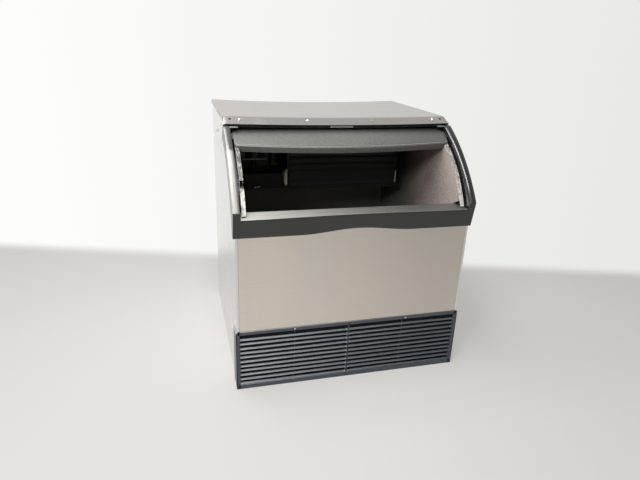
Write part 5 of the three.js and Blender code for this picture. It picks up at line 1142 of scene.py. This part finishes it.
def makeStop(name, x0, x1, forked):
    radius = (x1 - x0) / 2
    middle = (x0 + x1) / 2
    outline = [(middle - radius * math.cos(a), stops["bottom"] + radius - radius * math.sin(a))
               for a in spaced(0, math.pi, stops["footPoints"])]
    fork = stops["fork"]
    if forked:
        prong = radius * stops["prongShare"]
        z1, z2, z3, z4 = stops["prongs"]
        outline += [(x1, z1), (x1 - prong, z2), (middle, fork), (x0 + prong, z3), (x0, z4)]
    else:
        outline += [(x1, fork), (x0, fork)]
    plate = [[(x, y, z) for x, z in outline] for y in stops["y"]]
    outside = x0 if forked else x1 - stops["armSheet"]
    arm = block(outside, outside + stops["armSheet"], *stops["arm"])
    addPiece(name + "_curtain_stop", [plate, arm], "bright_bracket", edge=stops["soft"],
             finish="dull_bracket", replaced=[name + "_curtain_bracket"])


def makeTroughClip():
    y0, y1 = stops["clipY"]
    height = stops["clipHeight"]
    rings = [[(x, y0, z), (x, y1, z), (x, y1, z + height), (x, y0, z + height)] for x, z in stops["clip"]]
    addPiece("trough_clip", [rings], "bright_bracket", edge=stops["clipSoft"], finish="dull_bracket")


makeRoof()
makeCrossbar()
makeFasteners()
makeStop("left", *stops["leftX"], True)
makeStop("right", *stops["rightX"], False)
makeTroughClip()
print("cabinet front made")

# Louvers: two clip-on mouldings of slanted slats, wrapped round the cabinet's sides
louver = {
    "half": 382.0,
    "height": 210.0,
    "floorGap": 1.0,
    "front": -364.0,
    "face": -361.4,  # back of the thin face beyond the cabinet's sides
    "back": -352.0,
    "inside": 376.2,
    "split": -12.0,
    "gap": 1.2,
    "centrePost": 1.6,
    "endPost": 12.2,
    "bottomRail": 15.5,
    "topRail": 11.0,
    "skin": 3.0,
    "return": 70.0,
    "returnDrop": 9.0,
    "overlap": 1.0,
    "slats": 11,
    "pitch": 16.1,
    "firstShare": 0.12,  # of the pitch, from the bottom rail to the first slat
    # slat section, from its nose: forward-back, up
    "slat": ((0.3, 0.0), (0.0, 0.7), (0.5, 1.5), (6.2, 4.9), (6.9, 3.6), (1.8, 0.2)),
    "slatBack": 0.6,
    "slatSunk": 0.5,
    "slatColumns": 14,
    "bow": 0.5,  # mm that the slats sag or wander
    "bowAlong": 0.011,  # radians for each mm
    "bowStep": 1.9,  # radians from slat to slat
    "braceHalf": 0.8,
    "braceDepth": 2.0,
    "soft": 0.6,
    "smooth": 50,  # degrees
}


def makeLouver(side, name):
    inner = louver["split"] + side * louver["gap"] / 2
    outer = side * louver["half"]
    windowIn = inner + side * louver["centrePost"]
    windowOut = outer - side * louver["endPost"]
    frameOut = side * louver["inside"]
    low, top = louver["floorGap"], louver["height"]
    windowLow, windowTop = louver["bottomRail"], top - louver["topRail"]
    front, back = louver["front"], louver["back"]
    solids = [
        block(inner, frameOut, front, back, windowTop, top),
        block(inner, frameOut, front, back, low, windowLow),
        block(inner, windowIn, front, back, low, top),
        block(windowOut, frameOut, front, back, low, top),
        block(frameOut - side * louver["overlap"], outer, front, louver["face"], low, top),
        block(outer - side * louver["skin"], outer, front, front + louver["return"],
              low, top - louver["returnDrop"]),
    ]
    sunk = side * louver["slatSunk"]
    for i in range(louver["slats"]):
        z0 = windowLow + louver["pitch"] * (i + louver["firstShare"])
        rings = []
        for x in spaced(windowIn - sunk, windowOut + sunk, louver["slatColumns"]):
            wander = louver["bow"] * math.sin(x * louver["bowAlong"] + i * louver["bowStep"])
            rings.append([(x, front + louver["slatBack"] + y, z0 + z + wander) for y, z in louver["slat"]])
        solids.append(rings)
    middle = (windowIn + windowOut) / 2
    solids.append(block(middle - louver["braceHalf"], middle + louver["braceHalf"],
                        back - louver["braceDepth"], back, windowLow, windowTop))
    addPiece(name + "_louver_moulding", solids, "louver_plastic", edge=louver["soft"],
             angle=louver["smooth"], finish="dust_and_sheen_louver", replaced=[name + "_louver_panel"])


for side, name in sides:
    makeLouver(side, name)
print("louvers made")

# Studio: a pale floor that fades into the backdrop
studio = {
    "floor": (0.715, 0.70, 0.68),
    # painted shade: the floor is a little darker to the right
    "floorRight": (0.69, 0.675, 0.655),
    "acrossX": (-1.0, 0.7),  # m, where the floor passes from one to the other
    "stand": (-0.5, -1.8, 0.0),  # the far floor takes the backdrop's colour as seen from here
    "fade": (0.58, 0.74),  # m behind the machine's middle
    "turn": -16.6,  # degrees that the fading turns from the machine's back
    "reach": 30.0,
    "cuts": 3,
    "floorGlow": 0.60,  # share of the floor's own paleness that the camera sees
    "diffuse": 0.10,  # what the surroundings give to matt surfaces
}
# What the camera, metal and gloss see round the machine; x, y and z are those of the direction
surroundings = {
    "backdropLeft": (0.985, 0.985, 0.97),
    "backdropRight": (0.79, 0.79, 0.765),
    "backdropX": (-0.25, 0.85),
    "backdropY": (0.1, 0.3),
    "left": (1.25, 1.25, 1.24),
    "right": (0.36, 0.36, 0.35),
    "acrossX": (-0.6, 0.8),
    "above": (0.66, 0.66, 0.65),
    "aboveZ": (0.35, 0.6),
    "below": (0.73, 0.725, 0.715),
    "belowZ": (0.0, 0.08),  # downwards
}


def backdropTint(f, x):
    across = x.between(*surroundings["backdropX"], "LINEAR")
    return f.mix(surroundings["backdropLeft"], surroundings["backdropRight"], across)


def floorFinish():
    f = Finish("floor_paint")
    turn = math.radians(studio["turn"])
    x, y, z = f.axes()
    far = (y * math.cos(turn) - x * math.sin(turn)).between(*studio["fade"])
    tint = f.mix(studio["floor"], studio["floorRight"], x.between(*studio["acrossX"]))
    away = f.node("VectorMath", {0: f.place, 1: studio["stand"]}, operation="SUBTRACT")
    away = f.node("VectorMath", {0: away}, operation="NORMALIZE")
    tint = f.mix(tint, backdropTint(f, f.axes(away)[0]), far)
    matt = f.node("BsdfDiffuse", {"Color": tint})
    light = f.node("Emission", {"Color": tint, "Strength": 1.0})
    glow = f.rays() * (studio["floorGlow"] + far * (1 - studio["floorGlow"]))
    both = f.node("MixShader", {0: glow, 1: matt, 2: light})
    f.node("OutputMaterial", {"Surface": both})
    return f.material


def makeFloor():
    reach = studio["reach"]
    bm = bmesh.new()
    bm.faces.new([bm.verts.new((x * reach, y * reach, 0)) for x, y in ((-1, -1), (1, -1), (1, 1), (-1, 1))])
    bmesh.ops.subdivide_edges(bm, edges=bm.edges, cuts=studio["cuts"], use_grid_fill=True)
    mesh = bpy.data.meshes.new("floor")
    bm.to_mesh(mesh)
    bm.free()
    mesh.materials.append(floorFinish())
    addObject("floor", mesh)


# A long soft light overhead, one for the side and a key; metres and watts
lamps = {
    "overhead": {"at": (-0.50, -0.82, 2.6), "aim": (-0.50, -0.82, 0), "size": (0.6, 1.6), "power": 54},
    "rear": {"at": (-0.78, 0.33, 2.3), "aim": (-0.6, 0.2, 0), "size": (0.5, 0.7), "power": 13},
    "key": {"at": (-2.0, -2.4, 2.1), "aim": (0, -0.2, 0.6), "size": (0.7, 0.7), "power": 36},
}


def makeLamps():
    for name, lamp in lamps.items():
        data = bpy.data.lights.new(name, "AREA")
        data.shape = "RECTANGLE"
        data.size, data.size_y = lamp["size"]
        data.energy = lamp["power"]
        aim = Vector(lamp["aim"]) - Vector(lamp["at"])
        thing = addObject(name, data)
        thing.rotation_euler = aim.to_track_quat("-Z", "Y").to_euler()
        thing.location = lamp["at"]


def makeSurroundings():
    world = bpy.data.worlds.new("surroundings")
    f = Finish("surroundings", world)
    x, y, z = f.axes()
    tint = f.mix(surroundings["left"], surroundings["right"], x.between(*surroundings["acrossX"]))
    tint = f.mix(tint, surroundings["above"], z.between(*surroundings["aboveZ"]))
    tint = f.mix(tint, surroundings["below"], (0 - z).between(*surroundings["belowZ"]))
    tint = f.mix(tint, backdropTint(f, x), y.between(*surroundings["backdropY"]))
    strength = studio["diffuse"] + f.rays() * (1 - studio["diffuse"])
    glow = f.node("Background", {"Color": tint, "Strength": strength})
    f.node("OutputWorld", {"Surface": glow})
    bpy.context.scene.world = world


makeFloor()
makeLamps()
makeSurroundings()
print("studio made")
